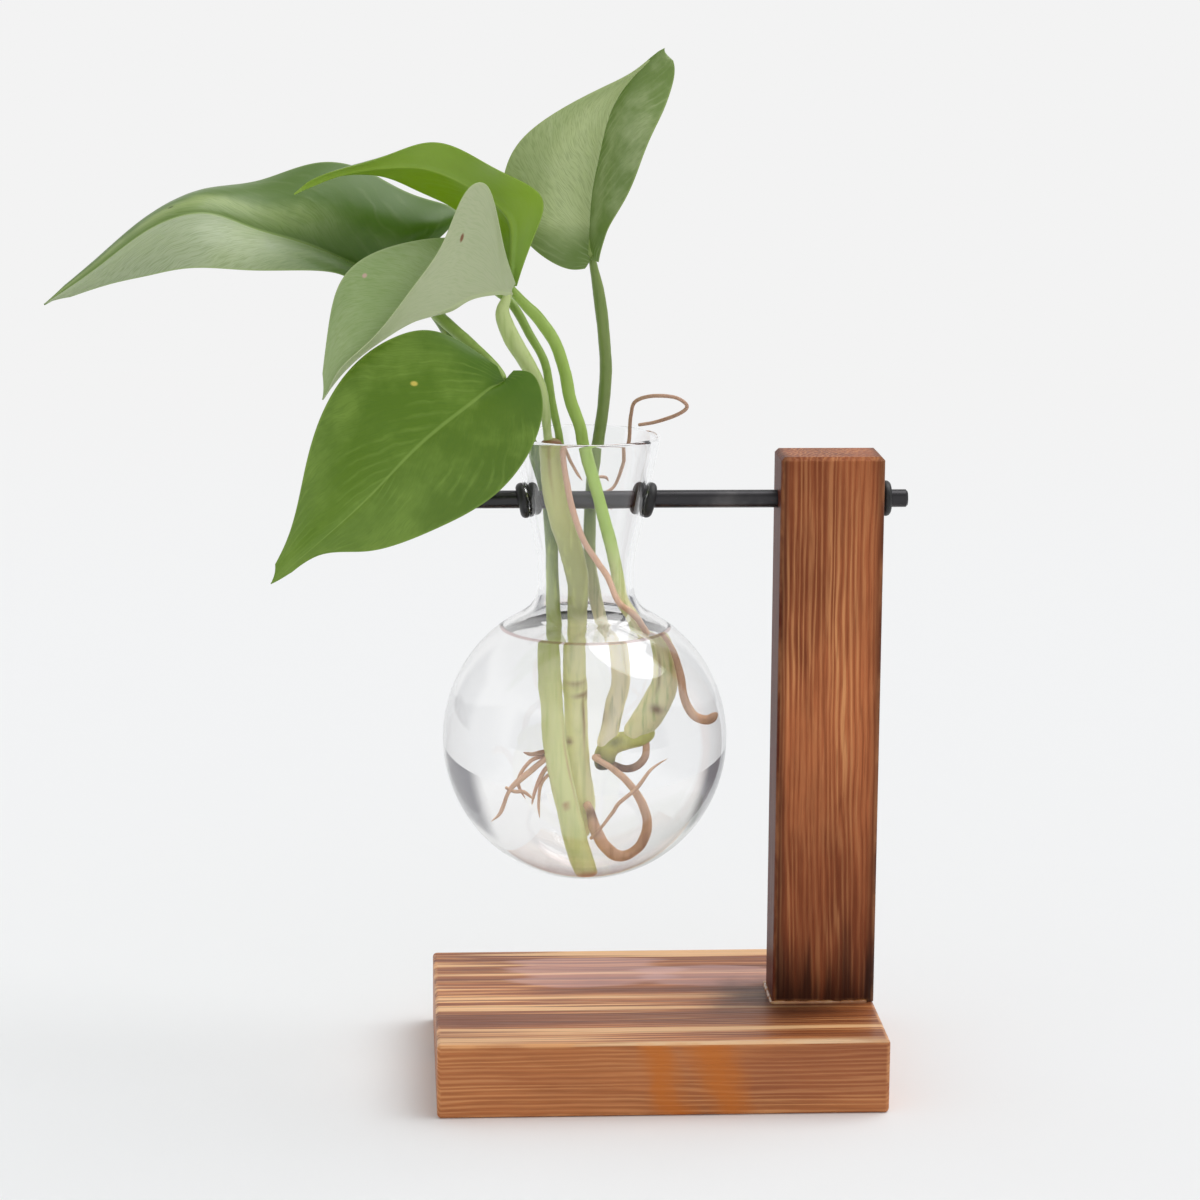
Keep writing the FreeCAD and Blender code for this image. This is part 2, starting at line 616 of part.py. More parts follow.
def neck(x, y, z):
    """A place in the neck, in shares of its inner radius and of its depth under the rim."""
    return point(VASE_X + x * NECK_INNER_RADIUS, y * NECK_INNER_RADIUS, RIM_Z + z * NECK_DEPTH)


def bulb(x, y, z):
    """A place in the bulb, in shares of its inner radius from its centre."""
    return point(VASE_X + x * BULB_INNER_RADIUS, y * BULB_INNER_RADIUS, BULB_Z + z * BULB_INNER_RADIUS)


PLACES = {"air": air, "neck": neck, "bulb": bulb}


def route(shares):
    """The points and girths of a stem, in the order that its table gives them."""
    points, girths = [], []
    for zone, rows in shares.items():
        for x, y, z, girth in rows:
            points.append(PLACES[zone](x, y, z))
            girths.append(girth)
    return points, girths


def between(values, i, t):
    """The Catmull-Rom curve through values, at the share t of span i."""
    a = values[max(i - 1, 0)]
    b = values[i]
    c = values[i + 1]
    d = values[min(i + 2, len(values) - 1)]
    slope_b = (c - a) * 0.5
    slope_c = (d - b) * 0.5
    rise = c - b
    return b + slope_b * t + (rise * 3 - slope_b * 2 - slope_c) * t**2 + (slope_b + slope_c - rise * 2) * t**3


def ring_wire(centre, side, tangent, radius):
    """A circle of two arcs about centre, square to tangent."""
    reach = side * radius
    bow = tangent.cross(side) * radius
    front = Part.Arc(centre + reach, centre + bow, centre - reach).toShape()
    back = Part.Arc(centre - reach, centre - bow, centre + reach).toShape()
    return Part.Wire([front, back])


def stem(shares, radius):
    """A round stem along its route, lofted through circles whose size follows its girth."""
    points, girths = route(shares)
    centres, radii = [], []
    for i in range(len(points) - 1):
        for step in range(STEM_STEPS):
            t = step / STEM_STEPS
            centres.append(between(points, i, t))
            radii.append(between(girths, i, t) * radius)
    centres.append(points[-1])
    radii.append(girths[-1] * radius)
    side = point(0, 1, 0)
    wires = []
    for i, centre in enumerate(centres):
        tangent = (centres[min(i + 1, len(centres) - 1)] - centres[max(i - 1, 0)]).normalize()
        side = (side - tangent * side.dot(tangent)).normalize()
        wires.append(ring_wire(centre, side, tangent, radii[i]))
    return Part.makeLoft(wires, True, True)


def flow(points, stops):
    """A smooth curve through points, each met at its own stop."""
    curve = Part.BSplineCurve()
    curve.interpolate(Points=points, Parameters=stops)
    return curve


def sheet(curves, degree):
    """A smooth sheet across two or three curves that share their stops."""
    columns = [curve.getPoles() for curve in curves]
    if degree == 2:
        crown = [m * 2 - (a + b) * 0.5 for a, m, b in zip(*columns)]
        columns = [columns[0], crown, columns[2]]
    surface = Part.BSplineSurface()
    surface.buildFromPolesMultsKnots(
        [list(row) for row in zip(*columns)],
        curves[0].getMultiplicities(),
        [degree + 1, degree + 1],
        curves[0].getKnots(),
        [0.0, 1.0],
        False,
        False,
        curves[0].Degree,
        degree,
    )
    return surface


def panels(surface, stops):
    """The faces of a sheet, one from each stop to the next."""
    faces = []
    for start, end in zip(stops, stops[1:]):
        panel = surface.copy()
        panel.segment(start, end, 0.0, 1.0)
        faces.append(panel.toShape())
    return faces


def end_sheets(sheets, stop):
    """The two faces that close a blade at a stop, one for each half, from top to underside."""
    ends = [surface.uIso(stop).toShape() for surface in sheets[:4]]
    return [Part.makeRuledSurface(ends[0], ends[2]), Part.makeRuledSurface(ends[1], ends[3])]


def rib_offsets(runs, left, middle, right):
    """How the five points of a rib move to the blade's other side: each half square to
    itself, and the midrib to where the two halves meet."""
    on_left = (runs[0] + runs[1]).cross(middle - left).normalize()
    on_right = (runs[1] + runs[2]).cross(right - middle).normalize()
    meet = (on_left + on_right) * (1 / (1 + max(on_left.dot(on_right), -MIDRIB_MITRE)))
    return [on_left, on_left, meet, on_right, on_right]


def blade(shares, seat_shares, length, swell_share):
    """A heart-shaped blade through its ribs, as thick as a leaf. Each half is a sheet that
    swells between margin and midrib, and the midrib is a crease."""
    seat = air(*seat_shares)
    ribs = [[seat + point(*p) * length for p in row] for row in shares]
    last = len(ribs) - 1
    stops = [0.0]
    rows = []
    for i, (left, middle, right) in enumerate(ribs):
        runs = [b - a for a, b in zip(ribs[max(i - 1, 0)], ribs[min(i + 1, last)])]
        offsets = rib_offsets(runs, left, middle, right)
        left_mid = (left + middle) * 0.5 + offsets[1] * ((middle - left).Length * swell_share)
        right_mid = (right + middle) * 0.5 + offsets[3] * ((middle - right).Length * swell_share)
        top = [left, left_mid, middle, right_mid, right]
        rows.append(top + [p - way * BLADE_THICKNESS for p, way in zip(top, offsets)])
        if i:
            stops.append(stops[-1] + sum((q - p).Length for p, q in zip(ribs[i - 1], ribs[i])))
    lines = [flow([row[k] for row in rows], stops) for k in range(10)]
    sheets = [sheet(lines[k : k + 3], 2) for k in (0, 2, 5, 7)]
    sheets += [sheet([lines[0], lines[5]], 1), sheet([lines[4], lines[9]], 1)]
    faces = end_sheets(sheets, stops[0]) + end_sheets(sheets, stops[-1])
    for surface in sheets:
        faces += panels(surface, stops)
    shell = Part.Shell(faces)
    shell.sewShape()
    return solid_of(shell)


def solid_of(shell):
    """The solid inside a closed shell, its faces outwards."""
    solid = Part.Solid(shell)
    if solid.Volume < 0:
        solid.reverse()
    return solid


def strands(tables, radius):
    """A bunch of fine roots, each a solid of its own."""
    return Part.makeCompound([stem(shares, radius) for shares in tables])


def post_screws():
    """Both wood screws, as two solids."""
    return Part.makeCompound([screw_shape(x, 0) for x in screw_places()])


def pieces():
    """Every piece of the object by its name."""
    return {
        "base_block": base_block(),
        "post": post(),
        "glue_bead": glue_bead(),
        "post_screws": post_screws(),
        "rod": rod(),
        "stop_ring": stop_ring(),
        "glass_vase": glass_vase(),
        "grommet_right": grommet(1),
        "grommet_left": grommet(-1),
        "leaf_front": blade(LEAF_FRONT_SHARES, FRONT_SEAT_SHARES, LEAF_FRONT_LENGTH, SWELL_FRONT_SHARE),
        "leaf_upright": blade(LEAF_UPRIGHT_SHARES, UPRIGHT_SEAT_SHARES, LEAF_UPRIGHT_LENGTH, SWELL_UPRIGHT_SHARE),
        "leaf_left": blade(LEAF_LEFT_SHARES, LEFT_SEAT_SHARES, LEAF_LEFT_LENGTH, SWELL_LEFT_SHARE),
        "leaf_folded": blade(LEAF_FOLDED_SHARES, FOLDED_SEAT_SHARES, LEAF_FOLDED_LENGTH, SWELL_FOLDED_SHARE),
        "leaf_arched": blade(LEAF_ARCHED_SHARES, ARCHED_SEAT_SHARES, LEAF_ARCHED_LENGTH, SWELL_ARCHED_SHARE),
        "petiole_front": stem(PETIOLE_FRONT_SHARES, PETIOLE_RADIUS),
        "petiole_upright": stem(PETIOLE_UPRIGHT_SHARES, PETIOLE_RADIUS),
        "petiole_arched": stem(PETIOLE_ARCHED_SHARES, PETIOLE_RADIUS),
        "petiole_left": stem(PETIOLE_LEFT_SHARES, PETIOLE_RADIUS),
        "petiole_folded": stem(PETIOLE_FOLDED_SHARES, SHEATH_RADIUS),
        "vine_left": stem(VINE_LEFT_SHARES, VINE_RADIUS),
        "vine_middle": stem(VINE_MIDDLE_SHARES, VINE_RADIUS),
        "vine_offcut": stem(VINE_OFFCUT_SHARES, CUT_END_RADIUS),
        "root_long": stem(ROOT_LONG_SHARES, ROOT_RADIUS),
        "root_curl": stem(ROOT_CURL_SHARES, THICK_ROOT_RADIUS),
        "root_hook": stem(ROOT_HOOK_SHARES, ROOT_RADIUS),
        "root_loop": stem(ROOT_LOOP_SHARES, ROOT_RADIUS),
        "roots_left": strands(ROOTS_LEFT_SHARES, ROOT_RADIUS),
        "roots_right": strands(ROOTS_RIGHT_SHARES, ROOT_RADIUS),
        "roots_neck": strands(ROOTS_NECK_SHARES, ROOT_RADIUS),
    }


os.makedirs("parts", exist_ok=True)
for name, shape in pieces().items():
    shape.exportStep("parts/" + name + ".step")
    print(name, "valid", shape.isValid(), "solids", len(shape.Solids), "volume", round(shape.Volume, 1))
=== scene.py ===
import json
import logging
import math
from dataclasses import dataclass, field
from enum import Enum

import bpy
import numpy as np
from mathutils import Matrix, Vector

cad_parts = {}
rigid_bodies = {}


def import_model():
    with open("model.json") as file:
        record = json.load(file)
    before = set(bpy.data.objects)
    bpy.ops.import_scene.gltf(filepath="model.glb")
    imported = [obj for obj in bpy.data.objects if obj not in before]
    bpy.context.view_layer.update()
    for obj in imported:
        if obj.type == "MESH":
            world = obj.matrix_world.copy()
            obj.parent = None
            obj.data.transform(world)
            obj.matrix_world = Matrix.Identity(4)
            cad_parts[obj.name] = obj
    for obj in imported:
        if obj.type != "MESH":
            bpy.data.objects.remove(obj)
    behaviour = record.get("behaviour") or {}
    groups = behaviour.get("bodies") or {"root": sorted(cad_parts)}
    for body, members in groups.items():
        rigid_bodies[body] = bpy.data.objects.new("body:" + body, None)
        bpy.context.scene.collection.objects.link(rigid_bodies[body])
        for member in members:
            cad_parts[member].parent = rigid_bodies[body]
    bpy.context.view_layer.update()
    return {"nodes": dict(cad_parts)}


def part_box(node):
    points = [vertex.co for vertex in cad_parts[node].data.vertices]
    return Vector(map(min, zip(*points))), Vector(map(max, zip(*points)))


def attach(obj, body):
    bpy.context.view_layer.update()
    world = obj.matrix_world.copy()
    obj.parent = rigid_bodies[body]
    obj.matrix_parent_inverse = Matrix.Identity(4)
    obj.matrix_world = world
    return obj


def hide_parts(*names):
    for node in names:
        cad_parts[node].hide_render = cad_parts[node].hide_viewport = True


# A propagation vase: a blown glass bulb hung by its neck on a black steel rod, from a torched
# pine stand, with vine cuttings that root in its water. Metres, in the frame of the packed
# model: +X along the rod to the post, +Z up, -Y the front.

log = logging.getLogger("propagation_vase")
MM = 0.001

Colour = tuple[float, float, float, float]
Triple = tuple[float, float, float]
Box = tuple[Triple, Triple]
WHITE: Colour = (1.0, 1.0, 1.0, 1.0)

# the vase's axis, the rod's height and the glass's own sizes
VASE_X = -0.020
ROD_Z = 0.165
RIM_Z = 0.183
BULB_Z = 0.097
BULB_RADIUS = 0.040
GLASS_WALL = 0.0015
RIM_RADIUS = 0.0205
WAIST_RADIUS = 0.0135
SHOULDER_ROUND = 0.009
WAIST_ROUND = 0.020
FLARE = math.radians(11.6)
WATER_LEVEL = 0.1274

# one share of the leaves' and stalks' tables above the rim
FOLIAGE_REACH = 0.100

# where the shoulder's arc has its centre, and the hollow inside the glass
SHOULDER_X = WAIST_RADIUS + SHOULDER_ROUND
SHOULDER_Z = BULB_Z + math.sqrt((BULB_RADIUS + SHOULDER_ROUND) ** 2 - SHOULDER_X**2)
NECK_INNER = WAIST_RADIUS - GLASS_WALL
NECK_DEPTH = RIM_Z - SHOULDER_Z
BULB_INNER = BULB_RADIUS - GLASS_WALL

# bounces that a ray through the clear neck needs before it counts as lost in the wall
DIRECT_BOUNCES = 3


# ------------------------------------------------------------------ curves and meshes


def smooth_through(stops: np.ndarray, rows: np.ndarray, at: np.ndarray) -> np.ndarray:
    """Natural cubic spline: the slopes that make neighbouring cubics bend alike, then Hermite.

    Args:
        stops: rising parameter of each row.
        rows: values to pass through, first axis along the stops.
        at: parameters to evaluate.

    Returns:
        The values at those parameters.
    """
    flat = rows.reshape(len(stops), -1)
    gap = np.diff(stops)
    rise = np.diff(flat, axis=0) / gap[:, None]
    inner = 2.0 * (1.0 / gap[:-1] + 1.0 / gap[1:])
    system = np.diag(np.concatenate([[2.0 / gap[0]], inner, [2.0 / gap[-1]]]))
    system += np.diag(1.0 / gap, 1) + np.diag(1.0 / gap, -1)
    pull = 3.0 * rise / gap[:, None]
    right = np.concatenate([pull[:1], pull[:-1] + pull[1:], pull[-1:]])
    slope = np.linalg.solve(system, right)
    i = np.clip(np.searchsorted(stops, at, side="right") - 1, 0, len(gap) - 1)
    t = ((at - stops[i]) / gap[i])[:, None]
    a, b = flat[i], flat[i + 1]
    m0, m1 = slope[i] * gap[i][:, None], slope[i + 1] * gap[i][:, None]
    value = a + m0 * t + (3 * (b - a) - 2 * m0 - m1) * t**2 + (m0 + m1 - 2 * (b - a)) * t**3
    return value.reshape((len(at),) + rows.shape[1:])


def through_rows(rows: np.ndarray, steps: int) -> np.ndarray:
    """Uniform Catmull-Rom curve: each span leaves and meets its rows along their neighbours' chord.

    Args:
        rows: the rows to pass through.
        steps: samples in each span.

    Returns:
        The samples, the last row included.
    """
    padded = np.concatenate([rows[:1], rows, rows[-1:]])
    a, b, c, d = padded[:-3], padded[1:-2], padded[2:-1], padded[3:]
    t = (np.arange(steps) / steps)[None, :, None]
    m0, m1 = (c - a)[:, None] * 0.5, (d - b)[:, None] * 0.5
    run = (c - b)[:, None]
    spans = b[:, None] + m0 * t + (3 * run - 2 * m0 - m1) * t**2 + (m0 + m1 - 2 * run) * t**3
    return np.concatenate([spans.reshape(-1, rows.shape[1]), rows[-1:]])


def unit(vectors: np.ndarray) -> np.ndarray:
    """The same directions with length one."""
    return vectors / np.maximum(np.linalg.norm(vectors, axis=-1, keepdims=True), 1e-12)


def round_turn(sides: int) -> np.ndarray:
    """Angles evenly round a full turn, the last one short of the first."""
    return np.linspace(0, 2 * np.pi, sides, endpoint=False)


def arc(centre: tuple[float, float], radius: float, start: float, end: float, steps: int) -> np.ndarray:
    """Points (r, z) on a circle's arc, ends included.

    Args:
        centre: the circle's middle (r, z).
        radius: its radius.
        start: angle of the first point, from the r axis towards z.
        end: angle of the last point.
        steps: number of points.

    Returns:
        One (r, z) row for each point.
    """
    turn = np.linspace(start, end, steps)
    return np.stack([centre[0] + radius * np.cos(turn), centre[1] + radius * np.sin(turn)], -1)


def grid_quads(rows: int, columns: int, loop_columns: bool = False) -> np.ndarray:
    """Quads of a grid of points numbered row by row.

    Args:
        rows: number of rows.
        columns: number of points in a row.
        loop_columns: joins the ends of each row.

    Returns:
        Four point numbers for each quad.
    """
    last = columns if loop_columns else columns - 1
    r, c = np.meshgrid(np.arange(rows - 1), np.arange(last), indexing="ij")
    here, following = r * columns, (r + 1) * columns
    beside = (c + 1) % columns
    return np.stack([here + c, here + beside, following + beside, following + c], -1).reshape(-1, 4)


def fan(pole: int, ring: np.ndarray) -> np.ndarray:
    """Triangles from one point to a closed ring of points."""
    return np.stack([np.full(len(ring), pole), np.roll(ring, -1), ring], -1)


def closed_tube(rings: int, sides: int) -> list[np.ndarray]:
    """Faces of a tube that is closed at two poles, numbered after all the points of its rings.

    Args:
        rings: number of rings.
        sides: points in a ring.

    Returns:
        The quads and the two fans.
    """
    count, first = rings * sides, np.arange(sides)
    walls = grid_quads(rings, sides, loop_columns=True)
    return [walls, fan(count, first)[:, ::-1], fan(count + 1, first + count - sides)]


def mesh_piece(
    name: str,
    points: np.ndarray,
    faces: list[np.ndarray],
    uv: np.ndarray | None = None,
    marks: dict[str, np.ndarray] | None = None,
    crease_degrees: float = 180.0,
) -> bpy.types.Object:
    """A piece from points and faces, turned outwards by the sign of its volume.

    Args:
        name: the piece's name.
        points: its points.
        faces: arrays of quads and triangles.
        uv: one UV pair for each point.
        marks: named numbers for each point, read by the materials.
        crease_degrees: edges bent more than this stay sharp.

    Returns:
        The new object, in the scene and at the origin.
    """
    corners = [np.stack([f[:, 0], f[:, k], f[:, k + 1]], -1) for f in faces for k in range(1, f.shape[1] - 1)]
    tri = points[np.concatenate(corners)]
    if np.einsum("ij,ij->i", np.cross(tri[:, 0], tri[:, 1]), tri[:, 2]).sum() < 0:
        faces = [f[:, ::-1] for f in faces]
    mesh = bpy.data.meshes.new(name)
    mesh.from_pydata(points.tolist(), [], [row for f in faces for row in f.tolist()])
    smoothed(mesh, crease_degrees)
    loops = np.empty(len(mesh.loops), np.int32)
    mesh.loops.foreach_get("vertex_index", loops)
    if uv is not None:
        mesh.uv_layers.new(name="UVMap").data.foreach_set("uv", uv[loops].astype(np.float32).ravel())
    for key, values in (marks or {}).items():
        mesh.attributes.new(key, "FLOAT", "POINT").data.foreach_set("value", values.astype(np.float32))
    mesh.validate()
    piece = bpy.data.objects.new(name, mesh)
    bpy.context.scene.collection.objects.link(piece)
    return piece


def smoothed(mesh: bpy.types.Mesh, crease_degrees: float) -> None:
    """Shades a mesh smoothly, but for its sharper edges.

    Args:
        mesh: the mesh.
        crease_degrees: edges bent more than this stay sharp; 180 for none.
    """
    mesh.polygons.foreach_set("use_smooth", np.ones(len(mesh.polygons), bool))
    if crease_degrees < 180.0:
        mesh.set_sharp_from_angle(angle=math.radians(crease_degrees))


def dress(piece: bpy.types.Object, material: bpy.types.Material) -> None:
    """Gives the piece one material in all its slots.

    Args:
        piece: the piece.
        material: its finish.
    """
    if not piece.data.materials:
        piece.data.materials.append(material)
    for i in range(len(piece.data.materials)):
        piece.data.materials[i] = material


def report(piece: bpy.types.Object) -> None:
    """Writes one piece's name and size to the log."""
    log.info("%s: %d faces", piece.name, len(piece.data.polygons))


# ------------------------------------------------------------------ node graphs


def colour(red: float, green: float, blue: float) -> Colour:
    """A display colour of 0 to 255 as the linear colour that shaders read.

    Args:
        red: the red share.
        green: the green share.
        blue: the blue share.

    Returns:
        The linear colour, opaque.
    """
    shares = [v / 255.0 for v in (red, green, blue)]
    linear = [v / 12.92 if v <= 0.04045 else ((v + 0.055) / 1.055) ** 2.4 for v in shares]
    return (*linear, 1.0)


class Wire:
    """A node's output. Short calls and arithmetic on it add further nodes and give their output."""

    def __init__(self, graph: "Graph", socket: bpy.types.NodeSocket) -> None:
        """Remembers which graph the socket is part of."""
        self.graph = graph
        self.socket = socket

    def maths(self, operation: str, *others: "Wire | float", clamp: bool = False) -> "Wire":
        """One arithmetic step that begins with this number.

        Args:
            operation: what the maths node does.
            others: its second number, where it takes one.
            clamp: keeps the outcome within 0 to 1.

        Returns:
            The outcome.
        """
        feeds = dict(enumerate((self, *others)))
        return self.graph.wire("Math", feeds, operation=operation, use_clamp=clamp)

    def __add__(self, other: "Wire | float") -> "Wire":
        """The sum."""
        return self.maths("ADD", other)

    def __sub__(self, other: "Wire | float") -> "Wire":
        """The difference."""
        return self.maths("SUBTRACT", other)

    def __mul__(self, other: "Wire | float") -> "Wire":
        """The product."""
        return self.maths("MULTIPLY", other)

    def __truediv__(self, other: float) -> "Wire":
        """The quotient."""
        return self.maths("DIVIDE", other)

    def __abs__(self) -> "Wire":
        """The number without its sign."""
        return self.maths("ABSOLUTE")

    def above(self, limit: float) -> "Wire":
        """1 where this is more than the limit, else 0."""
        return self.maths("GREATER_THAN", limit)

    def below(self, limit: float) -> "Wire":
        """1 where this is less than the limit, else 0."""
        return self.maths("LESS_THAN", limit)

    def between(self, start: float, end: float) -> "Wire":
        """A smooth step over a range that may also run downwards.

        Args:
            start: where the step leaves 0.
            end: where it reaches 1.

        Returns:
            0 before the start, 1 past the end.
        """
        feeds = {"Value": self, "From Min": start, "From Max": end}
        return self.graph.wire("MapRange", feeds, "Result", interpolation_type="SMOOTHSTEP")

    def axis(self, name: str) -> "Wire":
        """One component of this vector, X, Y or Z."""
        return self.graph.wire("SeparateXYZ", {0: self}, name)

    def length(self) -> "Wire":
        """This vector's length."""
        return self.graph.wire("VectorMath", {0: self}, "Value", operation="LENGTH")

    def moved(self, shift: Triple = (0.0, 0.0, 0.0), scale: Triple = (1.0, 1.0, 1.0)) -> "Wire":
        """This vector scaled, then shifted."""
        return self.graph.wire("Mapping", {"Vector": self, "Location": shift, "Scale": scale})

    def noise(self, scale: float, detail: float = 3.0, roughness: float = 0.5) -> "Wire":
        """Cloudy noise at this place.

        Args:
            scale: clouds in a metre.
            detail: how many finer layers lie over them.
            roughness: how strong the finer layers are.

        Returns:
            A number of 0 to 1.
        """
        feeds = {"Vector": self, "Scale": scale, "Detail": detail, "Roughness": roughness}
        return self.graph.wire("TexNoise", feeds, "Fac")


Fed = Wire | Colour | Triple | float
Feeds = dict[str | int, Fed]


class Graph:
    """The nodes of a material or world, written as short calls."""

    def __init__(self, owner: bpy.types.Material | bpy.types.World) -> None:
        """Starts with the coordinates alone.

        Args:
            owner: the material or world.
        """
        owner.use_nodes = True
        self.tree = owner.node_tree
        self.tree.nodes.clear()
        coords = self.node("TexCoord")
        self.place = Wire(self, coords.outputs["Object"])
        self.uv = Wire(self, coords.outputs["UV"])
        self.direction = Wire(self, coords.outputs["Generated"])

    def node(self, kind: str, feeds: Feeds | None = None, **settings: str | bool) -> bpy.types.Node:
        """A new node.

        Args:
            kind: its type, without the ShaderNode in front.
            feeds: wires and constants for its inputs, by their names or places.
            settings: its other properties.

        Returns:
            The node.
        """
        node = self.tree.nodes.new("ShaderNode" + kind)
        for key, value in settings.items():
            setattr(node, key, value)
        for key, value in (feeds or {}).items():
            if isinstance(value, Wire):
                self.tree.links.new(value.socket, node.inputs[key])
            else:
                node.inputs[key].default_value = value
        return node

    def wire(self, kind: str, feeds: Feeds, output: str | int = 0, **settings: str | bool) -> Wire:
        """A new node's output.

        Args:
            kind: the node's type.
            feeds: what goes into its inputs.
            output: the name or place of the output.
            settings: its other properties.

        Returns:
            The output.
        """
        return Wire(self, self.node(kind, feeds, **settings).outputs[output])

    def light(self, name: str) -> Wire:
        """One fact about the ray of light that is being followed."""
        return self.wire("LightPath", {}, name)

    def mark(self, name: str) -> Wire:
        """A named number that the mesh carries."""
        return self.wire("Attribute", {}, "Fac", attribute_name=name)

    def joined(self, x: Wire, y: Wire) -> Wire:
        """A flat vector from two numbers."""
        return self.wire("CombineXYZ", {"X": x, "Y": y})

    def blend(self, share: Wire, first: Wire | Colour, second: Wire | Colour) -> Wire:
        """Two colours mixed.

        Args:
            share: how much of the second one.
            first: the colour at share 0.
            second: the colour at share 1.

        Returns:
            The mixed colour.
        """
        return self.wire("Mix", {0: share, 6: first, 7: second}, 2, data_type="RGBA")

    def ramp(self, value: Wire, stops: tuple) -> Wire:
        """A grey that runs straight from stop to stop.

        Args:
            value: the number of 0 to 1 to look up.
            stops: pairs of value and grey.

        Returns:
            The grey as a colour.
        """
        node = self.node("ValToRGB", {0: value})
        elements = node.color_ramp.elements
        while len(elements) < len(stops):
            elements.new(0.5)
        for element, (position, grey) in zip(elements, stops):
            element.position = position
            element.color = (grey, grey, grey, 1.0)
        return Wire(self, node.outputs[0])

    def bump(self, height: Wire, depth: float, strength: float) -> Wire:
        """A normal that follows a height.

        Args:
            height: the height, of 0 to 1.
            depth: what 1 stands for in metres.
            strength: how much of it shows.

        Returns:
            The normal.
        """
        return self.wire("Bump", {"Height": height, "Distance": depth, "Strength": strength})

    def principled(self, **inputs: Fed) -> bpy.types.Node:
        """The surface's shader, its inputs given by name with spaces as underscores."""
        return self.node("BsdfPrincipled", {key.replace("_", " "): value for key, value in inputs.items()})

    def mixed(self, share: Wire, first: bpy.types.Node, second: bpy.types.Node) -> bpy.types.Node:
        """Two shaders mixed.

        Args:
            share: how much of the second one.
            first: the shader at share 0.
            second: the shader at share 1.

        Returns:
            The mixing node.
        """
        shaders = (Wire(self, shader.outputs[0]) for shader in (first, second))
        return self.node("MixShader", dict(enumerate((share, *shaders))))

    def end(self, kind: str, shader: bpy.types.Node) -> None:
        """Puts the shader on the surface; kind is the type of the output node."""
        self.node(kind, {"Surface": Wire(self, shader.outputs[0])})


class Recipe(Graph):
    """One material."""

    def __init__(self, name: str) -> None:
        """Starts a material of that name."""
        self.material = bpy.data.materials.new(name)
        super().__init__(self.material)

    def finish(self, shader: bpy.types.Node) -> bpy.types.Material:
        """Ends the recipe with its shader on the surface."""
        self.end("OutputMaterial", shader)
        return self.material

    def finish_clear(self, shader: bpy.types.Node, open_from: float | None) -> bpy.types.Material:
        """Ends the recipe with a clear shader that lets light through to what is behind it.

        Args:
            shader: the clear body's own shader.
            open_from: height above which light that is lost in the wall gets out, so that the lip
                is bright; None for nowhere.

        Returns:
            The finished material.
        """
        share = self.light("Is Shadow Ray")
        if open_from is not None:
            lost = self.light("Ray Depth").above(DIRECT_BOUNCES + 0.5)
            high = self.place.axis("Z").between(open_from, open_from + 4 * MM)
            share = share.maths("MAXIMUM", lost * high)
        return self.finish(self.mixed(share, shader, self.node("BsdfTransparent")))


# ------------------------------------------------------------------ finishes


class Grain(Enum):
    """The axis that a board's fibres run along, with the scale that keeps only the others."""

    ALONG_X = (0.0, 1.0, 1.0)
    ALONG_Z = (1.0, 1.0, 0.0)


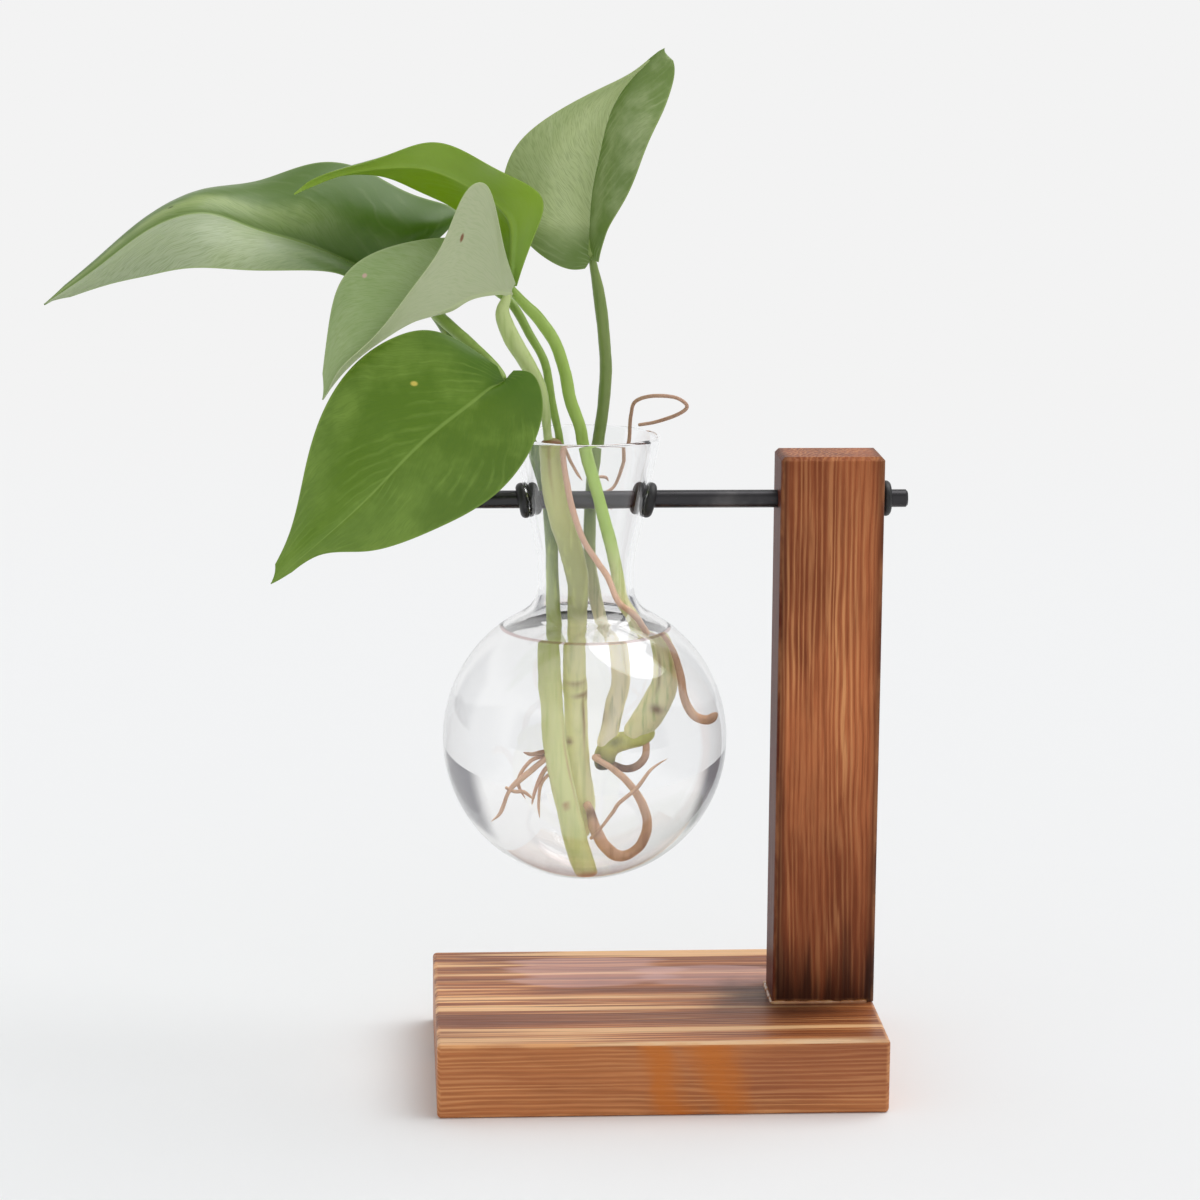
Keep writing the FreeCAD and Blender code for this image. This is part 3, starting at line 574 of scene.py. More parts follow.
@dataclass(frozen=True)
class TorchedPine:
    """Pine scorched and lacquered: growth rings about a pith, its hard lines light and raised on
    burnt soft wood, with worn edges."""

    name: str
    edge_low: Triple
    edge_high: Triple
    grain: Grain
    pith: Triple
    ring_width: float
    light: Colour
    middle: Colour
    dark: Colour
    wear: float
    waviness: float
    coat: float
    gloss: float
    scorch: Colour = colour(48, 22, 14)
    face_depth: float = 0.7 * MM

    def streaks(
        self, recipe: Recipe, along: float, across: float, detail: float = 3.0, roughness: float = 0.5
    ) -> Wire:
        """Noise drawn out along the board's fibres.

        Args:
            recipe: the board's material.
            along: clouds in a metre along the fibres.
            across: clouds in a metre across them.
            detail: how many finer layers lie over them.
            roughness: how strong the finer layers are.

        Returns:
            A number of 0 to 1.
        """
        scale = tuple(across if keep else along for keep in self.grain.value)
        return recipe.place.moved(scale=scale).noise(1.0, detail, roughness)

    def middle_and_half(self, k: int) -> tuple[float, float]:
        """The board's middle and half its size on one axis, numbered 0 to 2."""
        return (self.edge_low[k] + self.edge_high[k]) / 2, (self.edge_high[k] - self.edge_low[k]) / 2

    def worn_edges(self, recipe: Recipe) -> Wire:
        """The wear on the board's edges: products of nearness to two faces, in patches.

        Args:
            recipe: the board's material.

        Returns:
            A share of 0 to 1, 0 away from the edges.
        """
        near = []
        for k, name in enumerate("XYZ"):
            middle, half = self.middle_and_half(k)
            near.append(abs(recipe.place.axis(name) - middle).between(half - 1.5 * MM, half - 0.5 * MM))
        x, y, z = near
        edges = (x * y + y * z).maths("ADD", z * x, clamp=True)
        return edges * self.streaks(recipe, 45.0, 110.0, 4.0, 0.6).between(0.40, 0.68) * self.wear

    def material(self) -> bpy.types.Material:
        """The finished wood: rings by their distance from the pith, bent by a slow wave, then
        fibres and clouds of scorching over them.

        Returns:
            The material.
        """
        recipe = Recipe(self.name)
        shift = tuple(-p * k for p, k in zip(self.pith, self.grain.value))
        radius = recipe.place.moved(shift, self.grain.value).length()
        bent = self.streaks(recipe, 9.0, 30.0) * self.waviness + radius
        count = self.streaks(recipe, 6.0, 300.0, 3.0, 0.6) * 2.9 + bent / self.ring_width
        off = abs(count.maths("FRACT") * 2.0 - 1.0)
        hard, soft = off.between(0.60, 0.10), off.between(0.55, 1.0)
        fading = self.streaks(recipe, 14.0, 90.0).between(0.36, 0.66)
        fibre = self.streaks(recipe, 60.0, 1500.0, 4.0, 0.65)
        cloud = self.streaks(recipe, 13.0, 46.0, 4.0, 0.6)
        tone = recipe.blend(cloud.between(0.36, 0.70) * 0.8, self.middle, self.dark)
        tone = recipe.blend(soft * 0.38, tone, self.dark)
        tone = recipe.blend(hard * (fading * 0.62 + 0.16), tone, self.light)
        tone = recipe.blend(fibre.between(0.50, 0.74) * 0.34, tone, self.dark)
        tone = recipe.blend(fibre.between(0.50, 0.26) * 0.22, tone, self.light)
        tone = recipe.blend(self.worn_edges(recipe), self.stained(recipe, tone), self.light)
        return recipe.finish(
            recipe.principled(
                Base_Color=tone,
                Roughness=fibre * 0.25 + 0.34,
                Normal=recipe.bump(hard * 0.6 + fibre * 0.4, 0.14 * MM, 0.8),
                Specular_IOR_Level=self.gloss,
                Coat_Weight=self.coat,
                Coat_Roughness=0.18,
            )
        )

    def stained(self, recipe: Recipe, tone: Wire) -> Wire:
        """The board's own marks over its grain; none on a plain board."""
        return tone


@dataclass(frozen=True)
class BasePine(TorchedPine):
    """The base board's wood: a burnt and bleached top, a calm front with two runs of varnish."""

    grain: Grain = Grain.ALONG_X
    pith: Triple = (0.0, 0.014, -0.036)
    ring_width: float = 0.9 * MM
    light: Colour = colour(234, 170, 112)
    middle: Colour = colour(190, 114, 62)
    dark: Colour = colour(122, 62, 30)
    wear: float = 0.75
    waviness: float = 3.5 * MM
    coat: float = 0.12
    gloss: float = 0.22
    runs: tuple = ((0.0040, 0.0080), (0.0190, 0.0088))
    run_slant: float = 0.34
    # lilac patches of painted reflection on the lacquered top: shifts across and along and a reach for each,
    # then their scale
    glare_spots: tuple = ((0.60, -1.55, 0.0), (-0.66, -1.20, 0.16))
    glare_scale: Triple = (38.0, 68.0, 0.0)
    post_foot: Triple = (-0.036, 0.006, 0.0)

    def stained(self, recipe: Recipe, tone: Wire) -> Wire:
        """The marks on the front and the top, and a darker patch round the post's foot.

        Args:
            recipe: the board's material.
            tone: the wood's colour without them.

        Returns:
            The colour with them.
        """
        tone = self.stained_top(recipe, self.stained_front(recipe, tone))
        # a darker patch on the top round the post's foot
        foot = recipe.place.moved(self.post_foot, (1.0, 1.0, 0.0)).length()
        near = recipe.place.noise(60.0) * 0.026 + foot
        return recipe.blend(near.between(0.040, 0.018) * 0.72, tone, self.scorch)

    def stained_front(self, recipe: Recipe, tone: Wire) -> Wire:
        """A calmer, partly redder front with orange varnish runs, their edges wavy.

        Args:
            recipe: the board's material.
            tone: the wood's colour without them.

        Returns:
            The colour with them.
        """
        x, y, z = (recipe.place.axis(name) for name in "XYZ")
        front = y.below(self.edge_low[1] + 0.8 * MM)
        tone = recipe.blend(front * 0.34, tone, colour(204, 132, 82))
        red = self.streaks(recipe, 11.0, 60.0).between(0.48, 0.66) * front
        tone = recipe.blend(red * 0.34, tone, colour(146, 72, 46))
        wobble = recipe.place.noise(75.0, 4.0, 0.6) * (12.0 * MM) - 6.0 * MM
        lean = z * self.run_slant + wobble
        for middle, half in self.runs:
            share = abs(x - middle + lean).between(half, 0.0) * front
            tone = recipe.blend(share * 0.72, tone, colour(206, 114, 30))
        return tone

    def stained_top(self, recipe: Recipe, tone: Wire) -> Wire:
        """Burnt bands, bleached streaks, lilac patches of painted reflection where the lacquer lies thicker,
        and the top's pale front edge.

        Args:
            recipe: the board's material.
            tone: the wood's colour without them.

        Returns:
            The colour with them.
        """
        y, z = recipe.place.axis("Y"), recipe.place.axis("Z")
        top = z.above(self.edge_high[2] - self.face_depth)
        bands = self.streaks(recipe, 4.0, 105.0, 2.0)
        fine = self.streaks(recipe, 7.0, 520.0, 3.0, 0.6)
        tone = recipe.blend(bands.between(0.50, 0.36) * top * 0.70, tone, colour(104, 50, 30))
        tone = recipe.blend(fine.between(0.50, 0.36) * top * 0.50, tone, colour(100, 46, 26))
        bleached = (fine * 0.35 + bands).between(0.70, 0.79) * top
        tone = recipe.blend(bleached * 0.66, tone, colour(255, 210, 156))
        # lilac patches of painted reflection, their ends made wavy by streaks
        for across, along, reach in self.glare_spots:
            glare = recipe.place.moved((across, along, 0.0), self.glare_scale).length()
            edge = self.streaks(recipe, 16.0, 95.0) * -1.5 + glare
            share = edge.between(0.30 - reach, 0.06 - reach) * top
            tone = recipe.blend(share * 0.36, tone, colour(224, 182, 180))
        strip = y.between(self.edge_low[1] + 4.5 * MM, self.edge_low[1] + 0.8 * MM)
        patchy = self.streaks(recipe, 16.0, 420.0, 4.0).between(0.42, 0.60)
        return recipe.blend(strip * top * patchy * 0.85, tone, colour(240, 204, 162))


@dataclass(frozen=True)
class PostPine(TorchedPine):
    """The post's wood, darker towards its foot and on its side that faces the vase."""

    grain: Grain = Grain.ALONG_Z
    pith: Triple = (0.088, -0.028, 0.0)
    ring_width: float = 1.5 * MM
    light: Colour = colour(236, 166, 110)
    middle: Colour = colour(196, 114, 70)
    dark: Colour = colour(104, 46, 22)
    wear: float = 0.30
    waviness: float = 8.0 * MM
    coat: float = 0.03
    gloss: float = 0.12

    def stained(self, recipe: Recipe, tone: Wire) -> Wire:
        """A near-black foot, darker above it and at the head, a darker left side and dark
        upright edges.

        Args:
            recipe: the board's material.
            tone: the wood's colour without them.

        Returns:
            The colour with them.
        """
        x, z = recipe.place.axis("X"), recipe.place.axis("Z")
        streak = self.streaks(recipe, 14.0, 260.0)
        # darker towards the foot and near black at it, and darker towards the head
        height = streak * -0.050 + z
        tone = recipe.blend(height.between(0.085, 0.018) * 0.48, tone, self.dark)
        tone = recipe.blend(height.between(0.095, 0.150) * 0.30, tone, self.dark)
        tone = recipe.blend(height.between(0.020, -0.004) * 0.90, tone, self.scorch)
        middle, half = self.middle_and_half(0)
        rim = (streak * (2.4 * MM) + abs(x - middle)).between(half - 2.4 * MM, half + 1.2 * MM)
        tone = recipe.blend(rim * 0.75, tone, self.scorch)
        # a darker left side, the side that faces the vase
        side = x.below(self.edge_low[0] + self.face_depth)
        return recipe.blend(side * 0.70, tone, colour(98, 36, 20))


@dataclass(frozen=True)
class ClearBody:
    """A clear body, glass or water."""

    name: str
    ior: float
    open_from: float | None = None

    def tone(self, recipe: Recipe) -> Wire | Colour:
        """The body's own tint, the same all over."""
        return WHITE

    def material(self) -> bpy.types.Material:
        """The finished body, with the faintest waviness of blown glass.

        Returns:
            The material.
        """
        recipe = Recipe(self.name)
        shader = recipe.principled(
            Base_Color=self.tone(recipe),
            Roughness=0.0,
            IOR=self.ior,
            Transmission_Weight=1.0,
            Normal=recipe.bump(recipe.place.noise(55.0, 1.0), 0.05 * MM, 0.5),
        )
        return recipe.finish_clear(shader, self.open_from)


@dataclass(frozen=True)
class WaterBody(ClearBody):
    """Water with a thin darker line painted on its raised edge against the glass: painted shade for the light
    that the meniscus bends.
    """

    # the colour of the painted shade line
    line: Colour = colour(190, 160, 158)

    def tone(self, recipe: Recipe) -> Wire:
        """Clear, but for the painted shade line on the raised edge."""
        painted_line = recipe.place.axis("Z").between(WATER_LEVEL + 0.25 * MM, WATER_LEVEL + 0.55 * MM)
        return recipe.blend(painted_line, WHITE, self.line)


@dataclass(frozen=True)
class PlainFinish:
    """A worked metal, rubber or glue: one tone with fine unevenness in tone, gloss and relief."""

    name: str
    tone: Colour
    worn: Colour
    roughness: float
    metallic: float = 0.0
    speck: float = 900.0
    relief: float = 0.02 * MM
    coat: float = 0.0

    def material(self) -> bpy.types.Material:
        """The finished surface.

        Returns:
            The material.
        """
        recipe = Recipe(self.name)
        fine = recipe.place.noise(self.speck, 4.0, 0.6)
        broad = recipe.place.noise(self.speck / 9.0)
        return recipe.finish(
            recipe.principled(
                Base_Color=recipe.blend(broad.between(0.48, 0.78), self.tone, self.worn),
                Roughness=broad * 0.16 + (self.roughness - 0.08),
                Metallic=self.metallic,
                Coat_Weight=self.coat,
                Normal=recipe.bump(fine, self.relief, 0.6),
            )
        )


class Half(Enum):
    """The halves of a blade that get painted shadow along its fold, as shares across it."""

    LEFT = (-1.0, 0.5)
    RIGHT = (0.5, 2.0)
    BOTH = (-1.0, 2.0)


@dataclass(frozen=True)
class BladeFields:
    """The numbers that a leaf's colours are made from: the shares along and across it, the
    distance from the midrib, a slow drift, the veins, fine threads beside them, and clouds."""

    along: Wire
    across: Wire
    off: Wire
    drift: Wire
    vein: Wire
    threads: Wire
    cloud: Wire


@dataclass(frozen=True)
class LeafFinish:
    """A vine leaf: a green for each half of its seen face, with painted light and shade in them,
    clouds of painted sheen in a lighter green, a greener lobe by the stalk, painted shadow along the
    fold and painted shade along the margin, a light midrib and soft, broken veins that slant to the tip."""

    name: str
    # the halves' greens, lighter and darker by how light falls on them: painted light and shade
    left: Colour
    right: Colour
    # the painted sheen's green, also used for the veins
    light: Colour
    lobe: Colour
    back: Colour
    rib: Colour
    vein_share: float = 0.20
    # how much painted sheen the clouds lay on
    sheen_share: float = 0.55
    lobe_reach: float = 0.30
    # painted shade along one margin: how strong, and how far in
    margin_shade_share: float = 0.0
    margin_shade_reach: float = 0.32
    # how much lighter, in the sheen's green, the blade gets towards the tip
    tip_share: float = 0.0
    # painted shadow beside the fold, and on which half
    fold_shadow_share: float = 0.0
    fold_shadow_half: Half = Half.BOTH
    spots: tuple = ()
    veins: float = 15.0
    slant: float = 0.42
    roughness: float = 0.36

    def fields(self, recipe: Recipe) -> BladeFields:
        """The blade's numbers. A vein is where the share along, less a power of the distance from
        the midrib, passes a whole multiple of their spacing.

        Args:
            recipe: the leaf's material.

        Returns:
            The numbers.
        """
        place = recipe.place
        along, across = recipe.uv.axis("X"), recipe.uv.axis("Y")
        off = abs(across - 0.5) * 2.0
        drift = place.noise(70.0) * 0.12
        slanted = along - off.maths("POWER", 0.8) * self.slant + drift
        wave = abs((slanted * self.veins).maths("FRACT") - 0.5)
        vein = wave.between(0.26, 0.50) * place.noise(95.0).between(0.42, 0.66)
        threads = recipe.joined(slanted * 190.0 + off * 6.0, off * 9.0).noise(1.0).between(0.44, 0.64)
        cloud = place.noise(52.0, 4.0, 0.6).between(0.38, 0.66)
        return BladeFields(along, across, off, drift, vein, threads, cloud)

    def seen_face(self, recipe: Recipe, blade: BladeFields) -> Wire:
        """The greens of the face that the photo shows, with painted light, shade and sheen.

        Args:
            recipe: the leaf's material.
            blade: its numbers.

        Returns:
            The colour.
        """
        # each half's green carries painted light and shade
        green = recipe.blend(blade.across.between(0.485, 0.515), self.left, self.right)
        lobe = (blade.along + blade.drift).between(self.lobe_reach, self.lobe_reach * 0.3)
        green = recipe.blend(lobe, green, self.lobe)
        # clouds of painted sheen
        green = recipe.blend(blade.cloud * self.sheen_share, green, self.light)
        green = recipe.blend(blade.along.between(0.35, 0.9) * self.tip_share, green, self.light)
        green = recipe.blend(lobe * 0.75, green, self.lobe)
        # painted shadow beside the fold
        low, high = self.fold_shadow_half.value
        inside = blade.across.above(low) * blade.across.below(high)
        fold_shadow = (blade.drift * 1.5 + blade.off).between(0.45, 0.05) * inside
        green = recipe.blend(fold_shadow * self.fold_shadow_share, green, self.lobe)
        # painted shade along the margin
        edge = (blade.drift * 2.2 + blade.across).between(self.margin_shade_reach + 0.10, self.margin_shade_reach - 0.06)
        green = recipe.blend(edge * self.margin_shade_share, green, self.lobe)
        green = recipe.blend(blade.vein * self.vein_share, green, self.light)
        return recipe.blend(blade.threads * 0.30, green, self.lobe)

    def material(self) -> bpy.types.Material:
        """The finished leaf, with its midrib, pale margin and brown spots.

        Returns:
            The material.
        """
        recipe = Recipe(self.name)
        blade = self.fields(recipe)
        back = recipe.blend(blade.threads * 0.25, self.back, self.left)
        tone = recipe.blend(recipe.mark("back"), self.seen_face(recipe, blade), back)
        tone = recipe.blend(blade.off.between(0.026, 0.006) * 0.50, tone, self.rib)
        tone = recipe.blend(blade.off.between(0.965, 0.995) * 0.35, tone, self.rib)
        for u, v, size, shade in self.spots:
            spot = recipe.uv.moved((-u, -v * 0.6, 0.0), (1.0, 0.6, 0.0)).length()
            tone = recipe.blend(spot.between(size, size * 0.4), tone, shade)
        relief = recipe.place.noise(1400.0, 3.0, 0.6) * 0.35 + blade.vein * 0.65
        return recipe.finish(
            recipe.principled(
                Base_Color=tone,
                Roughness=blade.cloud * 0.10 + self.roughness,
                Specular_IOR_Level=0.42,
                Normal=recipe.bump(relief, 0.06 * MM, 0.5),
                Subsurface_Weight=0.08,
                Subsurface_Radius=(0.0006, 0.0010, 0.0003),
            )
        )


@dataclass(frozen=True)
class StemFinish:
    """A stem or root: streaks along it, greener above the water, paler below it where its colour is
    brightened with painted light, brown where its mesh is marked.
    """

    name: str
    above: Colour
    # the colour below the water, brightened with painted light for light lost in glass and water
    below: Colour
    streak: Colour
    scar: Colour
    roughness: float = 0.42
    streak_scale: Triple = (700.0, 700.0, 60.0)
    turn_low: float = 0.128
    turn_high: float = 0.160
    olive: Colour = colour(122, 128, 66)
    olive_share: float = 0.0

    def material(self) -> bpy.types.Material:
        """The finished stem, olive just above the water.

        Returns:
            The material.
        """
        recipe = Recipe(self.name)
        height = recipe.place.axis("Z")
        # below the water the colour is brightened: painted light
        tone = recipe.blend(height.between(self.turn_low, self.turn_high), self.below, self.above)
        low = height.between(0.127, 0.134) * height.between(0.168, 0.146)
        tone = recipe.blend(low * self.olive_share, tone, self.olive)
        lines = recipe.place.moved(scale=self.streak_scale).noise(1.0)
        tone = recipe.blend(lines.between(0.45, 0.80) * 0.6, tone, self.streak)
        cloud = recipe.place.noise(160.0)
        tone = recipe.blend(cloud.between(0.55, 0.85) * 0.45, tone, self.streak)
        scar = recipe.mark("scar").maths("MULTIPLY", lines * 0.7 + 0.6, clamp=True)
        relief = recipe.place.noise(1800.0, 3.0, 0.6) * 0.4 + lines * 0.6
        return recipe.finish(
            recipe.principled(
                Base_Color=recipe.blend(scar, tone, self.scar),
                Roughness=cloud * 0.16 + (self.roughness - 0.08),
                Normal=recipe.bump(relief, 0.06 * MM, 0.6),
                Subsurface_Weight=0.10,
                Subsurface_Radius=(0.0010, 0.0012, 0.0005),
            )
        )


# ------------------------------------------------------------------ the stand


@dataclass
class Stand:
    """The torched pine base and post, the glue round the post's foot and the screws below."""

    bead_radius: float = 0.75 * MM
    bead_sides: int = 14
    bead_steps: int = 40
    bead_inset: float = 0.25 * MM
    bead_stop: float = 2.2 * MM
    bead_waves: tuple = ((0.16, 7.3, 0.4), (0.12, 17.1, 0.0), (0.07, 41.7, 0.0))

    def dress_boards(self, nodes: dict[str, bpy.types.Object]) -> None:
        """Gives the base, post and screws their finishes.

        Args:
            nodes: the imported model's nodes by name.
        """
        for node, kind in (("base_block", BasePine), ("post", PostPine)):
            low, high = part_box(node)
            dress(nodes[node], kind("torched_pine_" + node, tuple(low), tuple(high)).material())
        steel = PlainFinish("screw_steel", colour(172, 168, 160), colour(120, 116, 110), 0.34, 1.0)
        dress(nodes["post_screws"], steel.material())

    def bead_route(self) -> np.ndarray:
        """The way round three sides of the post's foot, half sunk into the corner of post and board.

        Returns:
            Places along it.
        """
        low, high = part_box("post")
        right, left = high.x - self.bead_stop, low.x - self.bead_inset
        front, back = low.y - self.bead_inset, high.y + self.bead_inset
        turns = [(right, front), (left, front), (left, back), (right, back)]
        turns = np.array([(x, y, low.z) for x, y in turns])
        share = np.linspace(0, 1, self.bead_steps, endpoint=False)[:, None]
        legs = [turns[i] * (1 - share) + turns[i + 1] * share for i in range(3)]
        return np.concatenate(legs + [turns[-1:]])

    def glue_bead(self) -> bpy.types.Object:
        """Squeezed-out glue: a round profile carried along its route, its radius a sum of slow
        waves.

        Returns:
            The piece.
        """
        path = self.bead_route()
        s = np.arange(len(path)) / len(path)
        swell = sum(size * np.sin(2 * np.pi * often * s + start) for size, often, start in self.bead_waves)
        girth = self.bead_radius * (0.86 + swell)
        up = np.array([0.0, 0.0, 1.0])
        side = unit(np.cross(unit(np.gradient(path, axis=0)), up))
        angle = round_turn(self.bead_sides)[None, :, None]
        ring = side[:, None] * np.cos(angle) + up * np.sin(angle)
        points = (path[:, None] + ring * girth[:, None, None]).reshape(-1, 3)
        faces = closed_tube(len(path), self.bead_sides)
        piece = mesh_piece("glue_round_foot", np.concatenate([points, path[:1], path[-1:]]), faces)
        glue = PlainFinish("honey_glue", colour(156, 98, 48), colour(206, 176, 122), 0.28, coat=0.5)
        dress(piece, glue.material())
        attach(piece, "stand")
        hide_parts("glue_bead")
        return piece

    def build(self, nodes: dict[str, bpy.types.Object]) -> None:
        """Builds and dresses the whole stand.

        Args:
            nodes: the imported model's nodes by name.
        """
        self.dress_boards(nodes)
        report(self.glue_bead())


@dataclass
class Hanger:
    """The black steel rod with its rubber ring and grommets."""

    def build(self, nodes: dict[str, bpy.types.Object]) -> None:
        """Dresses the rod, ring and grommets.

        Args:
            nodes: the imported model's nodes by name.
        """
        steel = PlainFinish("black_steel", colour(62, 61, 63), colour(96, 94, 94), 0.30, 0.9, speck=700.0)
        rubber = PlainFinish(
            "black_rubber", colour(24, 24, 25), colour(44, 43, 44), 0.46, speck=1300.0, relief=0.03 * MM
        )
        dress(nodes["rod"], steel.material())
        black = rubber.material()
        for name in ("stop_ring", "grommet_right", "grommet_left"):
            dress(nodes[name], black)


# ------------------------------------------------------------------ the vessel


@dataclass
class Vessel:
    """The blown glass vase and the water in it."""

    sides: int = 176
    hole_radius: float = 3.8 * MM
    hole_sides: int = 96
    crease_degrees: float = 40.0
    water_overlap: float = 0.12 * MM
    meniscus: float = 0.9 * MM
    meniscus_reach: float = 1.3 * MM

    def wall(self, offset: float) -> np.ndarray:
        """One side of the glass from the bulb's foot to the lip: the bulb's arc, the shoulder's
        arc, the straight neck, the waist's arc and the flare.

        Args:
            offset: how far the side lies inside the outer one.

        Returns:
            Its (r, z) rows.
        """
        tilt = math.atan2(SHOULDER_Z - BULB_Z, SHOULDER_X)
        rise = (RIM_RADIUS - WAIST_RADIUS - WAIST_ROUND * (1 - math.cos(FLARE))) / math.tan(FLARE)
        lip_z = RIM_Z - GLASS_WALL / 2
        waist_z = lip_z - rise - WAIST_ROUND * math.sin(FLARE)
        bulb = arc((0.0, BULB_Z), BULB_RADIUS - offset, -math.pi / 2, tilt, 84)[1:]
        shoulder = arc((SHOULDER_X, SHOULDER_Z), SHOULDER_ROUND + offset, math.pi + tilt, math.pi, 22)[1:]
        neck = np.linspace(shoulder[-1], (WAIST_RADIUS - offset, waist_z), 5)[1:]
        waist_x = WAIST_RADIUS + WAIST_ROUND
        waist = arc((waist_x, waist_z), WAIST_ROUND + offset, math.pi, math.pi - FLARE, 12)[1:]
        rim = (RIM_RADIUS - offset * math.cos(FLARE), lip_z + offset * math.sin(FLARE))
        return np.concatenate([bulb, shoulder, neck, waist, np.linspace(waist[-1], rim, 9)[1:]])

    def turned(self, name: str, profile: np.ndarray, poles: tuple[float, float]) -> bpy.types.Object:
        """A profile turned about the vase's axis and closed at two poles.

        Args:
            name: the piece's name.
            profile: (r, z) rows.
            poles: the height of the first and the last pole.

        Returns:
            The piece.
        """
        turn = round_turn(self.sides)
        ring = np.stack([np.cos(turn), np.sin(turn), np.zeros_like(turn)], -1)
        points = profile[:, None, :1] * ring[None] + profile[:, None, 1:] * np.array([0.0, 0.0, 1.0])
        points = points.reshape(-1, 3) + np.array([VASE_X, 0.0, 0.0])
        ends = np.array([(VASE_X, 0.0, z) for z in poles])
        faces = closed_tube(len(profile), self.sides)
        return mesh_piece(name, np.concatenate([points, ends]), faces, crease_degrees=self.crease_degrees)

    def drill(self) -> bpy.types.Object:
        """A round bar along the rod's axis, a little longer than the mouth is wide.

        Returns:
            The bar.
        """
        turn = round_turn(self.hole_sides)
        circle = np.stack([np.zeros_like(turn), np.cos(turn), np.sin(turn)], -1) * self.hole_radius
        reach = np.array([RIM_RADIUS * 1.3, 0.0, 0.0])
        points = np.concatenate([circle - reach, circle + reach, [-reach, reach]])
        return mesh_piece("neck_drill", points + (VASE_X, 0.0, ROD_Z), closed_tube(2, self.hole_sides))

    def bore(self, piece: bpy.types.Object) -> None:
        """Cuts the rod's two holes through the neck.

        Args:
            piece: the glass.
        """
        drill = self.drill()
        cut = piece.modifiers.new("rod_holes", "BOOLEAN")
        cut.operation = "DIFFERENCE"
        cut.solver = "EXACT"
        cut.object = drill
        bpy.context.view_layer.update()
        shape = piece.evaluated_get(bpy.context.evaluated_depsgraph_get())
        holed = bpy.data.meshes.new_from_object(shape)
        piece.modifiers.clear()
        piece.data = holed
        bpy.data.objects.remove(drill)
        smoothed(holed, self.crease_degrees)

    def glass(self) -> bpy.types.Object:
        """The turned glass with a rounded lip and the rod's two holes.

        Returns:
            The piece.
        """
        outer, inner = self.wall(0.0), self.wall(GLASS_WALL)
        middle = (outer[-1] + inner[-1]) / 2
        lip = arc(tuple(middle), GLASS_WALL / 2, -FLARE, math.pi - FLARE, 11)[1:-1]
        profile = np.concatenate([outer, lip, inner[::-1]])
        foot = BULB_Z - BULB_RADIUS
        piece = self.turned("blown_glass_vase", profile, (foot, foot + GLASS_WALL))
        self.bore(piece)
        dress(piece, ClearBody("clear_glass", 1.5, WATER_LEVEL + 6 * MM).material())
        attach(piece, "vase")
        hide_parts("glass_vase")
        return piece

    def water(self) -> bpy.types.Object:
        """The water: the bulb's inner arc up to the water line, then a level top that climbs to
        the glass as e to the minus distance.

        Returns:
            The piece.
        """
        radius = BULB_INNER + self.water_overlap
        edge = math.asin((WATER_LEVEL + self.meniscus - BULB_Z) / radius)
        side = arc((0.0, BULB_Z), radius, -math.pi / 2, edge, 96)[1:]
        reach = side[-1][0] - self.water_overlap
        r = reach * (1 - np.linspace(0, 1, 40)[:-1] ** 1.6)
        climb = self.meniscus * np.exp(-(reach - r) / self.meniscus_reach)
        profile = np.concatenate([side, np.stack([r, WATER_LEVEL + climb], -1)])
        piece = self.turned("bulb_water", profile, (BULB_Z - radius, WATER_LEVEL))
        dress(piece, WaterBody("clear_water", 1.333).material())
        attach(piece, "vase")
        return piece

    def build(self) -> None:
        """Builds the glass and the water."""
        report(self.glass())
        report(self.water())


# ------------------------------------------------------------------ the leaves


class Zone(Enum):
    """Where a table's row is measured: its origin, and the reach of one share on each axis."""

    AIR = ((VASE_X, 0.0, RIM_Z), (FOLIAGE_REACH, FOLIAGE_REACH, FOLIAGE_REACH))
    NECK = ((VASE_X, 0.0, RIM_Z), (NECK_INNER, NECK_INNER, NECK_DEPTH))
    BULB = ((VASE_X, 0.0, BULB_Z), (BULB_INNER, BULB_INNER, BULB_INNER))

    def placed(self, rows: list) -> np.ndarray:
        """Rows that start with x, y and z in the zone's shares, as places in metres.

        Args:
            rows: the rows; what follows the third number is kept.

        Returns:
            The rows in metres.
        """
        table = np.array(rows)
        origin, reach = self.value
        return np.concatenate([np.array(origin) + table[:, :3] * np.array(reach), table[:, 3:]], 1)


